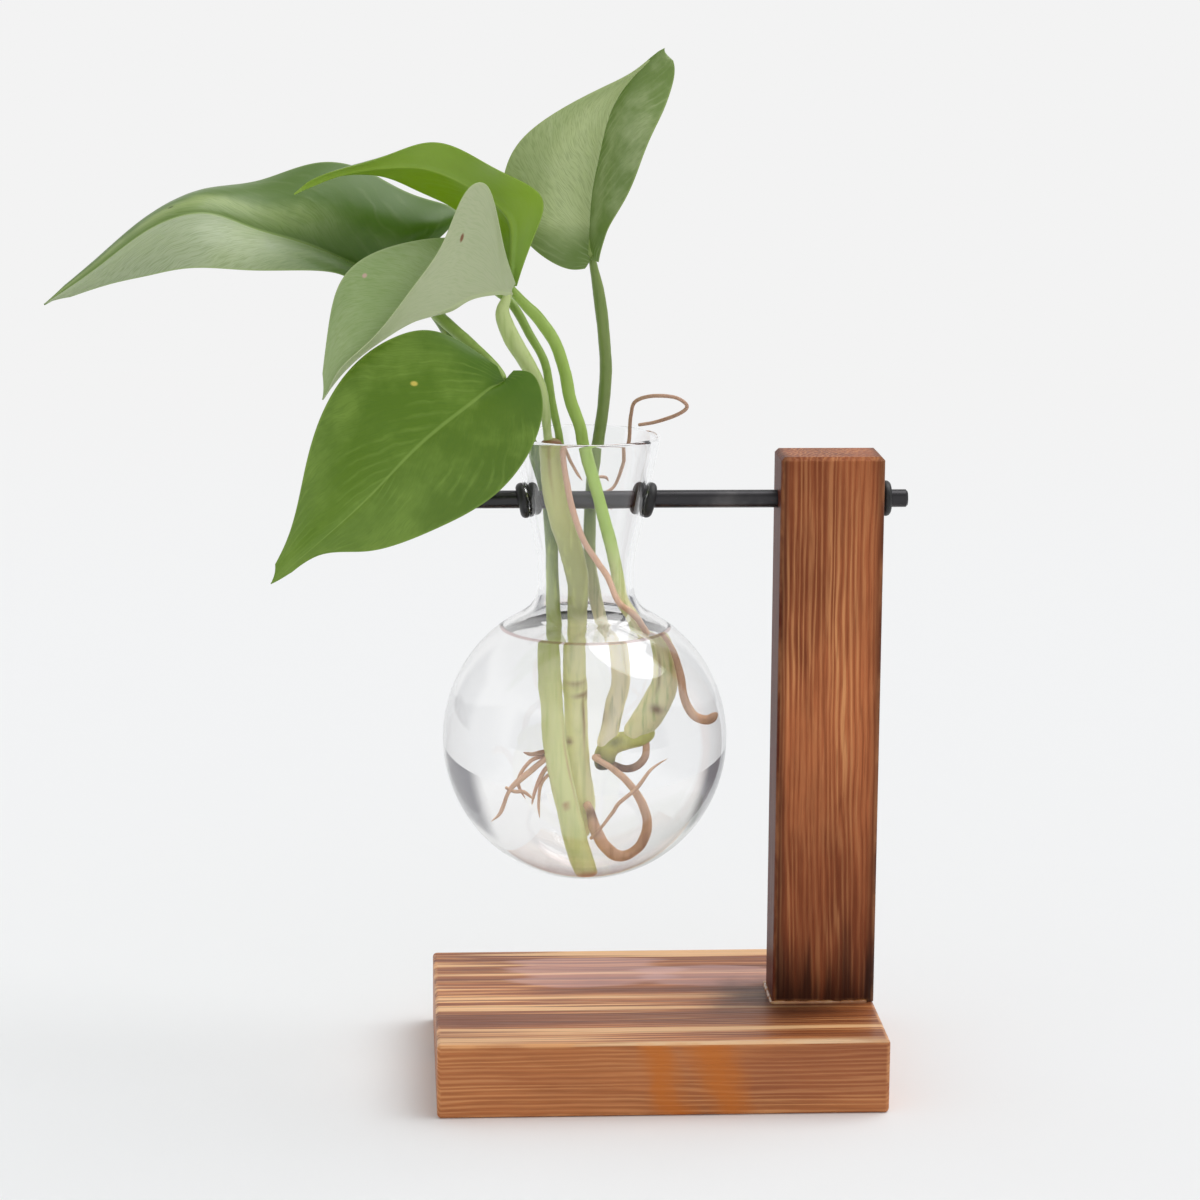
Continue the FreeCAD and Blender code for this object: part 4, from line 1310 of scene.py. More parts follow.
@dataclass
class HeartLeaf:
    """One heart-shaped blade, from ribs of left margin, midrib and right margin in shares of its
    length from where the stalk meets it."""

    name: str
    node: str
    ribs: list
    seat: Triple
    length: float
    swell: float
    finish: LeafFinish
    top_is_seen: bool = True
    phase: float = 0.0
    waves: float = 2.3
    wave_depth: float = 0.35 * MM
    steps_along: int = 170
    steps_half: int = 34
    thickness: float = 0.7 * MM
    tip_reach: float = 0.06
    quilt_depth: float = 0.035 * MM
    groove_depth: float = 0.26 * MM
    groove_width: float = 0.9 * MM
    keel_depth: float = 0.75 * MM
    keel_width: float = 0.8 * MM

    def rails(self) -> tuple[np.ndarray, np.ndarray]:
        """Five rails from the ribs: the margins, the midrib, and between them the middle of each
        half, swollen square to the blade.

        Returns:
            Five places for each rib, and how far along the blade each rib is.
        """
        ribs = np.array(self.ribs) * self.length + Zone.AIR.placed([self.seat])
        left, middle, right = ribs[:, 0], ribs[:, 1], ribs[:, 2]
        number = np.arange(len(ribs))
        runs = ribs[np.minimum(number + 1, number[-1])] - ribs[np.maximum(number - 1, 0)]
        on_left = unit(np.cross(runs[:, 0] + runs[:, 1], middle - left))
        on_right = unit(np.cross(runs[:, 1] + runs[:, 2], right - middle))
        wide_left = np.linalg.norm(middle - left, axis=1, keepdims=True)
        wide_right = np.linalg.norm(middle - right, axis=1, keepdims=True)
        left_mid = (left + middle) / 2 + on_left * wide_left * self.swell
        right_mid = (right + middle) / 2 + on_right * wide_right * self.swell
        walked = np.cumsum(np.linalg.norm(np.diff(ribs, axis=0), axis=2).sum(1))
        return np.stack([left, left_mid, middle, right_mid, right], 1), np.concatenate([[0.0], walked])

    def surface(self) -> tuple[np.ndarray, np.ndarray, np.ndarray, np.ndarray]:
        """The blade's middle as a grid: a natural spline along the rails, and across each half a
        quadratic through margin, swollen middle and midrib, pinched to the tip.

        Returns:
            Grid of points, shares along, signed shares across and the halves' widths.
        """
        rows, stops = self.rails()
        u = np.linspace(0, 1, self.steps_along)
        u = u + 0.05 * np.sin(np.pi * u) * u
        lines = smooth_through(stops, rows, u * stops[-1])
        s = (1 - np.cos(np.linspace(0, np.pi, self.steps_half))) / 2
        t = s[None, :, None]
        halves = []
        for first in (0, 2):
            a, b, c = (lines[:, first + k, None] for k in range(3))
            crown = 2 * b - (a + c) / 2
            halves.append(a * (1 - t) ** 2 + 2 * crown * t * (1 - t) + c * t**2)
        points = np.concatenate([halves[0], halves[1][:, 1:]], 1)
        midrib = points[:, self.steps_half - 1 : self.steps_half]
        pinch = np.clip((1 - u) / self.tip_reach, 0.0, 1.0)[:, None, None] ** 0.75
        points = midrib + (points - midrib) * np.maximum(pinch, 0.06)
        widths = np.linalg.norm(lines[:, (0, 4)] - lines[:, 2:3], axis=2)
        return points, u, np.concatenate([s - 1, s[1:]]), widths

    def faces_of_blade(self) -> tuple[np.ndarray, np.ndarray]:
        """Both faces: the grid moved along its own normals by margin waves, midrib groove and vein
        quilting, with a thickness that thins to the margin and a keel below the midrib.

        Returns:
            The two grids one after the other, and a UV pair for each point of one.
        """
        grid, u, across, widths = self.surface()
        normal = unit(np.cross(np.gradient(grid, axis=0), np.gradient(grid, axis=1)))
        along, off, side = u[:, None], np.abs(across)[None, :], np.sign(across)[None, :]
        wide = np.where(side < 0, widths[:, :1], widths[:, 1:])
        away = off * wide
        taper = np.sin(np.pi * np.clip(along, 0, 1)) ** 0.5
        turns = self.waves * along + self.phase + 0.21 * side
        wave = self.wave_depth * off**2.2 * taper * np.sin(2 * np.pi * turns)
        line = self.finish.veins * (along - self.finish.slant * off**0.8)
        beside = np.clip(away / (4 * MM), 0, 1)
        quilt = self.quilt_depth * np.cos(2 * np.pi * line) * beside * (1 - off) ** 0.5 * taper
        groove = self.groove_depth * np.exp(-((away / self.groove_width) ** 2)) * taper
        keel = self.keel_depth * np.exp(-((away / self.keel_width) ** 2)) * (1 - 0.8 * along)
        thick = self.thickness * (0.32 + 0.68 * (1 - off**3)) * np.clip(wide / (3 * MM), 0.35, 1.0)
        top = grid + normal * (wave + quilt - groove)[..., None]
        under = grid + normal * (wave + quilt * 0.8 - thick - keel)[..., None]
        uv = np.stack(np.broadcast_arrays(along, (across[None, :] + 1) / 2), -1).reshape(-1, 2)
        return np.stack([top, under]), uv

    def build(self) -> bpy.types.Object:
        """The leaf: both faces, joined round their rim.

        Returns:
            The piece.
        """
        sheets, uv = self.faces_of_blade()
        rows, columns = sheets.shape[1:3]
        count = rows * columns
        number = np.arange(count).reshape(rows, columns)
        rim = np.concatenate([number[0, :-1], number[:-1, -1], number[-1, :0:-1], number[:0:-1, 0]])
        following = np.roll(rim, -1)
        edge = np.stack([rim, following, following + count, rim + count], -1)
        quads = grid_quads(rows, columns)
        faces = [quads, quads[:, ::-1] + count, edge[:, ::-1]]
        back = np.repeat([0.0, 1.0] if self.top_is_seen else [1.0, 0.0], count)
        points = sheets.reshape(-1, 3)
        piece = mesh_piece(self.name, points, faces, np.concatenate([uv, uv]), {"back": back}, 60.0)
        dress(piece, self.finish.material())
        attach(piece, "vase")
        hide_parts(self.node)
        return piece


# Ribs of left margin, midrib and right margin, in shares of the blade's length.
FRONT_RIBS = [
    ((-0.020, 0.006, 0.045), (0.000, 0.000, 0.000), (0.030, -0.010, 0.034)),
    ((-0.100, 0.025, 0.100), (-0.015, 0.000, -0.010), (0.085, -0.010, 0.025)),
    ((-0.210, 0.045, 0.150), (-0.040, -0.010, -0.020), (0.120, -0.035, -0.055)),
    ((-0.340, 0.060, 0.130), (-0.090, -0.035, -0.055), (0.095, -0.045, -0.190)),
    ((-0.475, 0.060, 0.040), (-0.175, -0.070, -0.115), (-0.015, -0.060, -0.340)),
    ((-0.575, 0.045, -0.115), (-0.290, -0.105, -0.210), (-0.210, -0.070, -0.455)),
    ((-0.635, 0.010, -0.330), (-0.430, -0.115, -0.355), (-0.425, -0.080, -0.530)),
    ((-0.685, -0.045, -0.495), (-0.585, -0.095, -0.500), (-0.585, -0.080, -0.540)),
    ((-0.748, -0.060, -0.622), (-0.735, -0.060, -0.635), (-0.722, -0.060, -0.648)),
]
UPRIGHT_RIBS = [
    ((-0.035, 0.000, -0.045), (0.000, 0.000, 0.000), (0.025, -0.015, -0.015)),
    ((-0.090, 0.000, -0.050), (-0.005, 0.015, 0.035), (0.030, -0.045, 0.020)),
    ((-0.230, 0.030, 0.015), (-0.005, 0.030, 0.085), (0.045, -0.095, 0.085)),
    ((-0.365, 0.065, 0.180), (0.000, 0.065, 0.160), (0.070, -0.140, 0.165)),
    ((-0.385, 0.080, 0.330), (0.010, 0.095, 0.275), (0.135, -0.170, 0.290)),
    ((-0.315, 0.080, 0.495), (0.040, 0.110, 0.435), (0.210, -0.155, 0.460)),
    ((-0.140, 0.095, 0.630), (0.080, 0.125, 0.600), (0.275, -0.095, 0.600)),
    ((0.060, 0.105, 0.735), (0.155, 0.125, 0.740), (0.330, 0.000, 0.720)),
    ((0.195, 0.105, 0.810), (0.245, 0.110, 0.840), (0.350, 0.065, 0.820)),
    ((0.297, 0.097, 0.900), (0.310, 0.095, 0.895), (0.323, 0.093, 0.890)),
]
LEFT_RIBS = [
    ((0.050, 0.000, 0.008), (0.000, 0.000, 0.000), (0.032, -0.008, -0.008)),
    ((0.165, 0.050, 0.090), (-0.012, 0.000, 0.005), (0.040, -0.040, -0.035)),
    ((0.215, 0.090, 0.155), (-0.032, 0.000, 0.010), (0.020, -0.070, -0.055)),
    ((0.125, 0.125, 0.195), (-0.060, 0.000, 0.020), (-0.035, -0.090, -0.035)),
    ((-0.020, 0.155, 0.260), (-0.125, -0.010, 0.050), (-0.110, -0.120, 0.010)),
    ((-0.165, 0.155, 0.285), (-0.220, -0.030, 0.090), (-0.240, -0.165, 0.025)),
    ((-0.330, 0.125, 0.240), (-0.345, -0.050, 0.130), (-0.365, -0.205, 0.030)),
    ((-0.470, 0.080, 0.225), (-0.465, -0.080, 0.170), (-0.490, -0.225, 0.035)),
    ((-0.615, 0.020, 0.155), (-0.610, -0.100, 0.130), (-0.605, -0.215, 0.015)),
    ((-0.735, -0.050, 0.060), (-0.735, -0.120, 0.040), (-0.710, -0.185, -0.010)),
    ((-0.897, -0.126, -0.065), (-0.893, -0.135, -0.070), (-0.889, -0.144, -0.075)),
]
FOLDED_RIBS = [
    ((0.000, 0.024, 0.016), (0.000, 0.000, 0.000), (0.024, -0.020, 0.034)),
    ((-0.040, 0.080, 0.120), (-0.020, -0.015, -0.005), (-0.030, -0.080, 0.205)),
    ((-0.125, 0.110, 0.210), (-0.065, -0.030, -0.005), (-0.100, -0.160, 0.465)),
    ((-0.235, 0.080, 0.225), (-0.155, -0.065, -0.015), (-0.180, -0.190, 0.465)),
    ((-0.370, 0.030, 0.225), (-0.265, -0.110, -0.060), (-0.280, -0.205, 0.250)),
    ((-0.565, -0.015, 0.175), (-0.400, -0.145, -0.105), (-0.425, -0.220, 0.040)),
    ((-0.735, -0.080, 0.045), (-0.545, -0.175, -0.175), (-0.600, -0.240, -0.175)),
    ((-0.795, -0.125, -0.185), (-0.700, -0.190, -0.295), (-0.735, -0.220, -0.315)),
    ((-0.823, -0.166, -0.449), (-0.815, -0.175, -0.450), (-0.807, -0.184, -0.451)),
]
ARCHED_RIBS = [
    ((-0.018, 0.020, -0.005), (0.000, 0.000, 0.000), (0.018, -0.020, 0.005)),
    ((-0.035, 0.045, 0.065), (0.005, -0.010, 0.065), (0.040, -0.045, 0.085)),
    ((-0.070, 0.070, 0.115), (0.010, -0.010, 0.135), (0.075, -0.080, 0.185)),
    ((-0.105, 0.095, 0.155), (0.005, -0.010, 0.210), (0.100, -0.105, 0.280)),
    ((-0.170, 0.165, 0.230), (-0.100, 0.025, 0.310), (-0.040, -0.120, 0.385)),
    ((-0.305, 0.190, 0.300), (-0.285, 0.060, 0.385), (-0.260, -0.080, 0.465)),
    ((-0.395, 0.175, 0.335), (-0.395, 0.070, 0.385), (-0.390, -0.045, 0.430)),
    ((-0.500, 0.140, 0.350), (-0.510, 0.070, 0.370), (-0.515, -0.010, 0.390)),
    ((-0.610, 0.095, 0.335), (-0.620, 0.060, 0.335), (-0.630, 0.025, 0.345)),
    ((-0.696, 0.054, 0.290), (-0.698, 0.045, 0.295), (-0.700, 0.036, 0.300)),
]


@dataclass
class Foliage:
    """The five leaves."""

    def front(self) -> HeartLeaf:
        """The deep green leaf that faces the front.

        Returns:
            The leaf.
        """
        greens = LeafFinish(
            "leaf_front_green",
            left=colour(90, 126, 6),
            right=colour(88, 122, 8),
            light=colour(136, 168, 66),
            lobe=colour(76, 114, 6),
            back=colour(140, 160, 100),
            rib=colour(150, 180, 84),
            vein_share=0.34,
            tip_share=0.32,
            spots=((0.30, 0.27, 0.012, colour(216, 200, 90)),),
        )
        seat = (-0.237, -0.220, 0.181)
        return HeartLeaf("front_leaf", "leaf_front", FRONT_RIBS, seat, 0.086, 0.08, greens)

    def upright(self) -> HeartLeaf:
        """The leaf that stands up, seen from its pale underside.

        Returns:
            The leaf.
        """
        # painted light and shade: a pale lit left half with painted sheen, a darker shaded right half with
        # painted shadow beside the fold, and painted shade along the margin
        greens = LeafFinish(
            "leaf_upright_green",
            left=colour(198, 213, 152),
            right=colour(116, 142, 70),
            light=colour(210, 223, 172),
            lobe=colour(104, 132, 56),
            back=colour(110, 140, 60),
            rib=colour(176, 196, 120),
            sheen_share=0.45,
            fold_shadow_share=0.55,
            fold_shadow_half=Half.RIGHT,
            margin_shade_share=0.30,
        )
        seat = (0.018, 0.060, 0.486)
        return HeartLeaf("upright_leaf", "leaf_upright", UPRIGHT_RIBS, seat, 0.064, -0.06, greens, False, 0.3)

    def left(self) -> HeartLeaf:
        """The long leaf that reaches out to the left.

        Returns:
            The leaf.
        """
        # painted light and shade: pale halves of painted sheen, a deep green lobe reaching past half way that
        # is the painted shadow of the arched leaf, painted shadow beside the fold on the left half and
        # painted shade along the upper margin
        greens = LeafFinish(
            "leaf_left_green",
            left=colour(160, 180, 112),
            right=colour(172, 186, 148),
            light=colour(172, 188, 138),
            lobe=colour(72, 108, 8),
            back=colour(140, 160, 110),
            rib=colour(160, 184, 110),
            vein_share=0.08,
            lobe_reach=0.58,
            margin_shade_share=0.85,
            margin_shade_reach=0.44,
            fold_shadow_share=0.70,
            fold_shadow_half=Half.LEFT,
            spots=((0.66, 0.34, 0.008, colour(80, 90, 40)),),
        )
        seat = (-0.573, 0.100, 0.440)
        return HeartLeaf("left_leaf", "leaf_left", LEFT_RIBS, seat, 0.102, 0.12, greens, phase=0.6)

    def folded(self) -> HeartLeaf:
        """The young leaf folded along its midrib.

        Returns:
            The leaf.
        """
        greens = LeafFinish(
            "leaf_folded_green",
            left=colour(152, 176, 116),
            right=colour(196, 208, 164),
            light=colour(186, 202, 152),
            lobe=colour(116, 150, 50),
            back=colour(190, 200, 160),
            rib=colour(196, 208, 156),
            sheen_share=0.4,
            lobe_reach=0.16,
            spots=((0.30, 0.80, 0.014, colour(140, 96, 66)), (0.62, 0.10, 0.012, colour(206, 178, 160))),
        )
        seat = (-0.215, -0.050, 0.406)
        return HeartLeaf("folded_leaf", "leaf_folded", FOLDED_RIBS, seat, 0.063, 0.06, greens, phase=0.1)

    def arched(self) -> HeartLeaf:
        """The leaf that arches over to the left behind the folded one.

        Returns:
            The leaf.
        """
        # greens brightened to stand in for light shining through the blade: painted light
        greens = LeafFinish(
            "leaf_arched_green",
            left=colour(140, 178, 10),
            right=colour(150, 184, 62),
            light=colour(166, 200, 84),
            lobe=colour(150, 186, 76),
            back=colour(90, 124, 24),
            rib=colour(170, 200, 84),
            sheen_share=0.30,
        )
        seat = (-0.211, -0.020, 0.414)
        return HeartLeaf("arched_leaf", "leaf_arched", ARCHED_RIBS, seat, 0.085, 0.08, greens, False, 0.8)

    def build(self) -> None:
        """Builds every leaf."""
        for leaf in (self.front(), self.upright(), self.left(), self.folded(), self.arched()):
            report(leaf.build())


# ------------------------------------------------------------------ stems and roots


@dataclass(frozen=True)
class Mark:
    """A brown mark on a stem: where along it (a share of its length, or a height), which way round,
    how long and broad, and how strong. Round 0 is the back, pi the front and pi/2 the right."""

    share: float = 0.0
    height: float = 0.0
    around: float = math.pi
    long: float = 1.0 * MM
    broad: float = 90.0
    depth: float = 0.9


@dataclass(frozen=True)
class Walk:
    """A route in close steps: its places, its shares of girth, how far along each step is, the
    whole length, and how far the two round ends reach in."""

    path: np.ndarray
    girth: np.ndarray
    length: np.ndarray
    total: float
    reach: np.ndarray


@dataclass
class Stem:
    """A stem, stalk or root: a circle carried along a smooth route, swollen and marked at its
    nodes and lumpy by a sum of waves along and around it."""

    name: str
    nodes: tuple
    route: dict | tuple
    radius: float
    finish: StemFinish
    slot: str
    rings: list = field(default_factory=list)
    marks: list = field(default_factory=list)
    lumps: float = 0.02
    tip: float = 0.0
    round_share: float = 0.8
    sides: int = 28
    steps: int = 12
    thinnest: float = 0.04 * MM
    wave_shift: float = 7.0

    def walk(self, route: np.ndarray) -> Walk:
        """Samples a route, more closely where its two ends are rounded.

        Args:
            route: rows of place and girth.

        Returns:
            The route in close steps.
        """
        line = through_rows(route, self.steps)
        gaps = np.linalg.norm(np.diff(line[:, :3], axis=0), axis=1)
        walked = np.concatenate([[0.0], np.cumsum(gaps)])
        reach = self.round_share * self.radius * line[[0, -1], 3]
        dome = 1 - np.cos(np.linspace(0.12, np.pi / 2, 7))
        inner = walked[(walked > reach[0] * 1.05) & (walked < walked[-1] - reach[1] * 1.05)]
        length = np.concatenate([reach[0] * dome, inner, walked[-1] - reach[1] * dome[::-1]])
        rows = np.stack([np.interp(length, walked, column) for column in line.T], -1)
        return Walk(rows[:, :3], rows[:, 3], length, walked[-1], reach)

    def radii(self, walk: Walk) -> np.ndarray:
        """The radius along a route: a quarter circle at both ends, a bell curve at each ring, and
        a square root towards a drawn-out tip.

        Args:
            walk: the route.

        Returns:
            One radius for each step.
        """
        s = walk.length / walk.total
        from_start = np.clip(walk.length / walk.reach[0], 0, 1)
        from_end = np.clip((walk.total - walk.length) / walk.reach[1], 0, 1)
        domes = np.sqrt(1 - (1 - from_start) ** 2) * np.sqrt(1 - (1 - from_end) ** 2)
        radius = walk.girth * self.radius * domes
        for at, swell, width in self.rings:
            radius = radius * (1 + swell * np.exp(-(((s - at) * walk.total / width) ** 2)))
        if self.tip:
            radius = np.maximum(radius * np.clip((1 - s) / self.tip, 0.0, 1.0) ** 0.5, self.thinnest)
        return radius

    def scars(self, walk: Walk, angle: np.ndarray) -> np.ndarray:
        """How brown each point is: a bell curve along and around for each mark.

        Args:
            walk: the route.
            angle: the angles round it.

        Returns:
            A share for each step and angle.
        """
        scar = np.zeros((len(walk.path), self.sides))
        for mark in self.marks:
            from_share = walk.length - mark.share * walk.total
            along = (walk.path[:, 2] - mark.height) if mark.height else from_share
            turn = np.angle(np.exp(1j * (angle - mark.around))) / mark.broad
            scar = np.maximum(scar, mark.depth * np.exp(-((along[:, None] / mark.long) ** 2) - turn**2))
        return scar

    def tube(self, route: np.ndarray, number: int) -> tuple:
        """The tube of one strand, its poles closed.

        Args:
            route: rows of place and girth.
            number: which strand it is, for its own lumps.

        Returns:
            Points, list of face arrays, UV pairs and the scar mark.
        """
        walk = self.walk(route)
        path, sides = walk.path, self.sides
        tangent = unit(np.gradient(path, axis=0))
        side = unit(np.array([0.0, 1.0, 0.0]) - tangent * tangent[:, 1:2])
        bow = np.cross(tangent, side)
        a = round_turn(sides)[None, :]
        run = walk.length[:, None] / MM + self.wave_shift * number
        waves = np.sin(a * 2 + run * 0.31) + 0.7 * np.sin(a * 3 - run * 0.53 + 1.3)
        waves = waves + 0.6 * np.sin(run * 0.83) + 0.4 * np.sin(a + run * 1.9)
        ring = side[:, None] * np.cos(a)[..., None] + bow[:, None] * np.sin(a)[..., None]
        radius = self.radii(walk)[:, None] * (1 + self.lumps * waves)
        points = (path[:, None] + ring * radius[..., None]).reshape(-1, 3)
        start = path[0] - tangent[0] * walk.length[0]
        end = path[-1] + tangent[-1] * (walk.total - walk.length[-1])
        scar = self.scars(walk, a)
        share = walk.length[:, None] / walk.total
        uv = np.stack(np.broadcast_arrays(share, a / (2 * np.pi)), -1).reshape(-1, 2)
        return (
            np.concatenate([points, [start, end]]),
            closed_tube(len(path), sides),
            np.concatenate([uv, [(0.0, 0.5), (1.0, 0.5)]]),
            np.concatenate([scar.ravel(), [scar[0].mean(), scar[-1].mean()]]),
        )

    def build(self) -> bpy.types.Object:
        """The piece: one tube for each strand of the route.

        Returns:
            The piece.
        """
        strands = self.route if isinstance(self.route, tuple) else (self.route,)
        points, faces, uvs, scars, start = [], [], [], [], 0
        for number, rows in enumerate(strands):
            route = np.concatenate([zone.placed(table) for zone, table in rows.items()])
            tube_points, tube_faces, uv, scar = self.tube(route, number)
            points.append(tube_points)
            faces += [part + start for part in tube_faces]
            uvs.append(uv)
            scars.append(scar)
            start += len(tube_points)
        marks = {"scar": np.concatenate(scars)}
        piece = mesh_piece(self.name, np.concatenate(points), faces, np.concatenate(uvs), marks, 50.0)
        dress(piece, self.finish.material())
        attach(piece, "vase")
        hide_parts(*self.nodes)
        return piece


# Rows of x, y, z and girth in shares of their zone: the air above the rim, the neck, the bulb.
A, N, B = Zone.AIR, Zone.NECK, Zone.BULB

PETIOLE_FRONT = {
    A: [
        (-0.424, 0.022, 0.346, 0.8), (-0.421, -0.006, 0.343, 1.0), (-0.393, -0.050, 0.321, 1.0),
        (-0.331, -0.110, 0.273, 0.9), (-0.273, -0.170, 0.226, 0.8), (-0.244, -0.201, 0.193, 0.7),
        (-0.238, -0.216, 0.182, 0.5),
    ],
}
PETIOLE_UPRIGHT = {
    A: [
        (0.018, 0.064, 0.488, 0.45), (0.018, 0.076, 0.478, 0.6), (0.035, 0.068, 0.390, 0.95),
        (0.046, 0.062, 0.309, 1.0), (0.056, 0.065, 0.191, 1.0), (0.052, 0.068, 0.092, 1.0),
        (0.037, 0.066, -0.024, 1.0),
    ],
    N: [
        (0.18, 0.48, -0.27, 1.0), (0.12, 0.43, -0.50, 1.0), (0.12, 0.39, -0.85, 1.05),
    ],
    B: [
        (0.08, 0.12, 1.02, 1.1), (0.13, 0.11, 0.78, 1.15), (0.19, 0.10, 0.50, 1.2),
        (0.20, 0.09, 0.29, 1.2), (0.17, 0.08, 0.17, 1.2), (0.14, 0.08, 0.022, 1.1),
        (0.120, 0.08, -0.045, 1.1), (0.115, 0.08, -0.090, 1.1),
    ],
}
PETIOLE_ARCHED = {
    A: [
        (-0.212, -0.019, 0.416, 0.5), (-0.211, -0.016, 0.408, 0.7), (-0.172, -0.025, 0.365, 0.9),
        (-0.135, -0.040, 0.328, 1.0), (-0.092, -0.060, 0.265, 1.0), (-0.066, -0.080, 0.190, 1.0),
        (-0.051, -0.090, 0.114, 1.0), (-0.024, -0.095, 0.037, 1.0),
    ],
    N: [
        (-0.10, -0.73, -0.05, 1.0), (0.16, -0.58, -0.29, 1.0), (0.32, -0.45, -0.46, 1.0),
        (0.55, -0.27, -0.70, 1.05), (0.70, -0.13, -0.88, 1.05),
    ],
    B: [
        (0.260, -0.02, 1.04, 1.1), (0.350, -0.01, 0.87, 1.2), (0.430, 0.02, 0.68, 1.5),
        (0.465, 0.03, 0.47, 1.65), (0.450, 0.05, 0.30, 1.75), (0.395, 0.07, 0.17, 1.8),
        (0.345, 0.08, 0.09, 1.75), (0.285, 0.08, 0.020, 1.5), (0.235, 0.08, -0.030, 1.3),
    ],
}
PETIOLE_LEFT = {
    A: [
        (-0.078, -0.050, -0.030, 0.8), (-0.080, -0.045, 0.012, 0.65), (-0.100, -0.030, 0.103, 0.7),
        (-0.116, 0.000, 0.199, 0.7), (-0.157, 0.030, 0.276, 0.7), (-0.217, 0.070, 0.369, 0.75),
        (-0.321, 0.100, 0.425, 0.75), (-0.432, 0.110, 0.438, 0.75), (-0.553, 0.103, 0.415, 0.7),
        (-0.570, 0.101, 0.436, 0.5),
    ],
}
PETIOLE_FOLDED = {
    A: [
        (-0.104, -0.074, -0.030, 0.8), (-0.112, -0.075, 0.012, 0.55), (-0.119, -0.085, 0.078, 0.65),
        (-0.136, -0.085, 0.152, 0.8), (-0.172, -0.082, 0.215, 1.0), (-0.215, -0.078, 0.288, 1.05),
        (-0.236, -0.072, 0.345, 0.9), (-0.226, -0.062, 0.384, 0.6), (-0.217, -0.052, 0.404, 0.4),
    ],
}
VINE_LEFT = {
    A: [
        (-0.437, 0.030, 0.370, 0.8), (-0.410, 0.025, 0.330, 0.8), (-0.337, 0.015, 0.223, 0.76),
        (-0.238, 0.020, 0.096, 0.76), (-0.171, 0.030, 0.005, 0.76),
    ],
    N: [
        (-1.15, 0.33, -0.18, 0.76), (-0.91, 0.41, -0.42, 0.76), (-0.82, 0.30, -0.65, 0.76),
        (-0.79, 0.12, -0.90, 0.76),
    ],
    B: [
        (-0.235, 0.01, 0.95, 0.80), (-0.228, 0.00, 0.75, 0.90), (-0.212, -0.01, 0.46, 1.0),
        (-0.190, -0.03, 0.19, 1.0), (-0.164, -0.04, -0.07, 1.0), (-0.100, -0.05, -0.36, 1.0),
        (-0.040, -0.05, -0.60, 1.0), (0.025, -0.05, -0.82, 1.0),
    ],
}
VINE_MIDDLE = {
    A: [
        (-0.100, -0.070, 0.003, 1.35),
    ],
    N: [
        (-0.83, -0.59, -0.10, 1.30), (-0.76, -0.56, -0.30, 1.30), (-0.60, -0.53, -0.52, 1.30),
        (-0.35, -0.42, -0.75, 1.28), (-0.20, -0.30, -0.95, 1.22),
    ],
    B: [
        (-0.062, -0.05, 0.92, 1.10), (-0.066, 0.00, 0.66, 1.02), (-0.060, 0.02, 0.40, 1.0),
        (-0.045, 0.06, 0.10, 1.0), (-0.035, 0.08, -0.15, 1.0), (0.000, 0.09, -0.37, 0.95),
        (0.004, 0.07, -0.46, 0.80), (-0.015, 0.02, -0.55, 0.55),
    ],
}
VINE_OFFCUT = {
    B: [
        (0.345, 0.08, 0.035, 0.80), (0.330, 0.08, -0.005, 0.95), (0.265, 0.08, -0.035, 1.0),
        (0.185, 0.08, -0.050, 1.0), (0.130, 0.08, -0.080, 1.0), (0.110, 0.08, -0.150, 1.0),
        (0.118, 0.08, -0.200, 0.75),
    ],
}
ROOT_LONG = {
    N: [
        (-0.60, -0.99, -0.05, 1.3), (-0.52, -0.98, -0.22, 1.4), (-0.36, -0.95, -0.44, 1.4),
        (-0.10, -0.88, -0.65, 1.4), (0.22, -0.78, -0.80, 1.4), (0.46, -0.66, -0.91, 1.4),
    ],
    B: [
        (0.220, -0.165, 1.04, 1.4), (0.320, -0.135, 0.94, 1.4), (0.430, -0.100, 0.80, 1.4),
        (0.530, -0.070, 0.60, 1.5), (0.560, -0.050, 0.40, 1.6), (0.570, -0.040, 0.24, 1.7),
        (0.620, -0.030, 0.13, 1.8), (0.710, -0.020, 0.10, 1.8), (0.800, 0.000, 0.14, 1.7),
    ],
}
ROOT_CURL = {
    B: [
        (0.090, 0.060, -0.130, 0.6), (0.058, 0.005, -0.12, 0.55), (0.145, -0.030, -0.17, 0.6),
        (0.239, -0.050, -0.25, 0.65), (0.312, -0.065, -0.36, 0.75), (0.343, -0.065, -0.49, 0.9),
        (0.299, -0.055, -0.61, 1.0), (0.200, -0.040, -0.66, 1.05), (0.110, -0.040, -0.60, 1.05),
        (0.055, -0.040, -0.50, 1.0), (0.035, -0.025, -0.42, 0.85), (0.012, 0.030, -0.37, 0.7),
    ],
}
ROOT_HOOK = {
    B: [
        (0.330, 0.080, -0.010, 0.9), (0.335, 0.060, -0.075, 1.0), (0.325, 0.045, -0.130, 1.1),
        (0.280, 0.045, -0.175, 1.1), (0.220, 0.060, -0.190, 1.0), (0.140, 0.075, -0.165, 1.0),
    ],
}
ROOT_LOOP = {
    N: [
        (0.40, 0.72, -0.42, 0.7), (0.72, 0.93, -0.38, 0.8), (0.92, 0.98, -0.25, 0.9),
        (1.05, 0.96, -0.08, 0.9),
    ],
    A: [
        (0.128, 0.110, 0.010, 0.9), (0.130, 0.100, 0.042, 0.9), (0.140, 0.080, 0.082, 0.9),
        (0.185, 0.060, 0.101, 0.9), (0.250, 0.050, 0.098, 0.9), (0.283, 0.050, 0.074, 0.9),
        (0.260, 0.060, 0.050, 0.9), (0.200, 0.090, 0.024, 0.85), (0.150, 0.098, 0.014, 0.8),
    ],
}
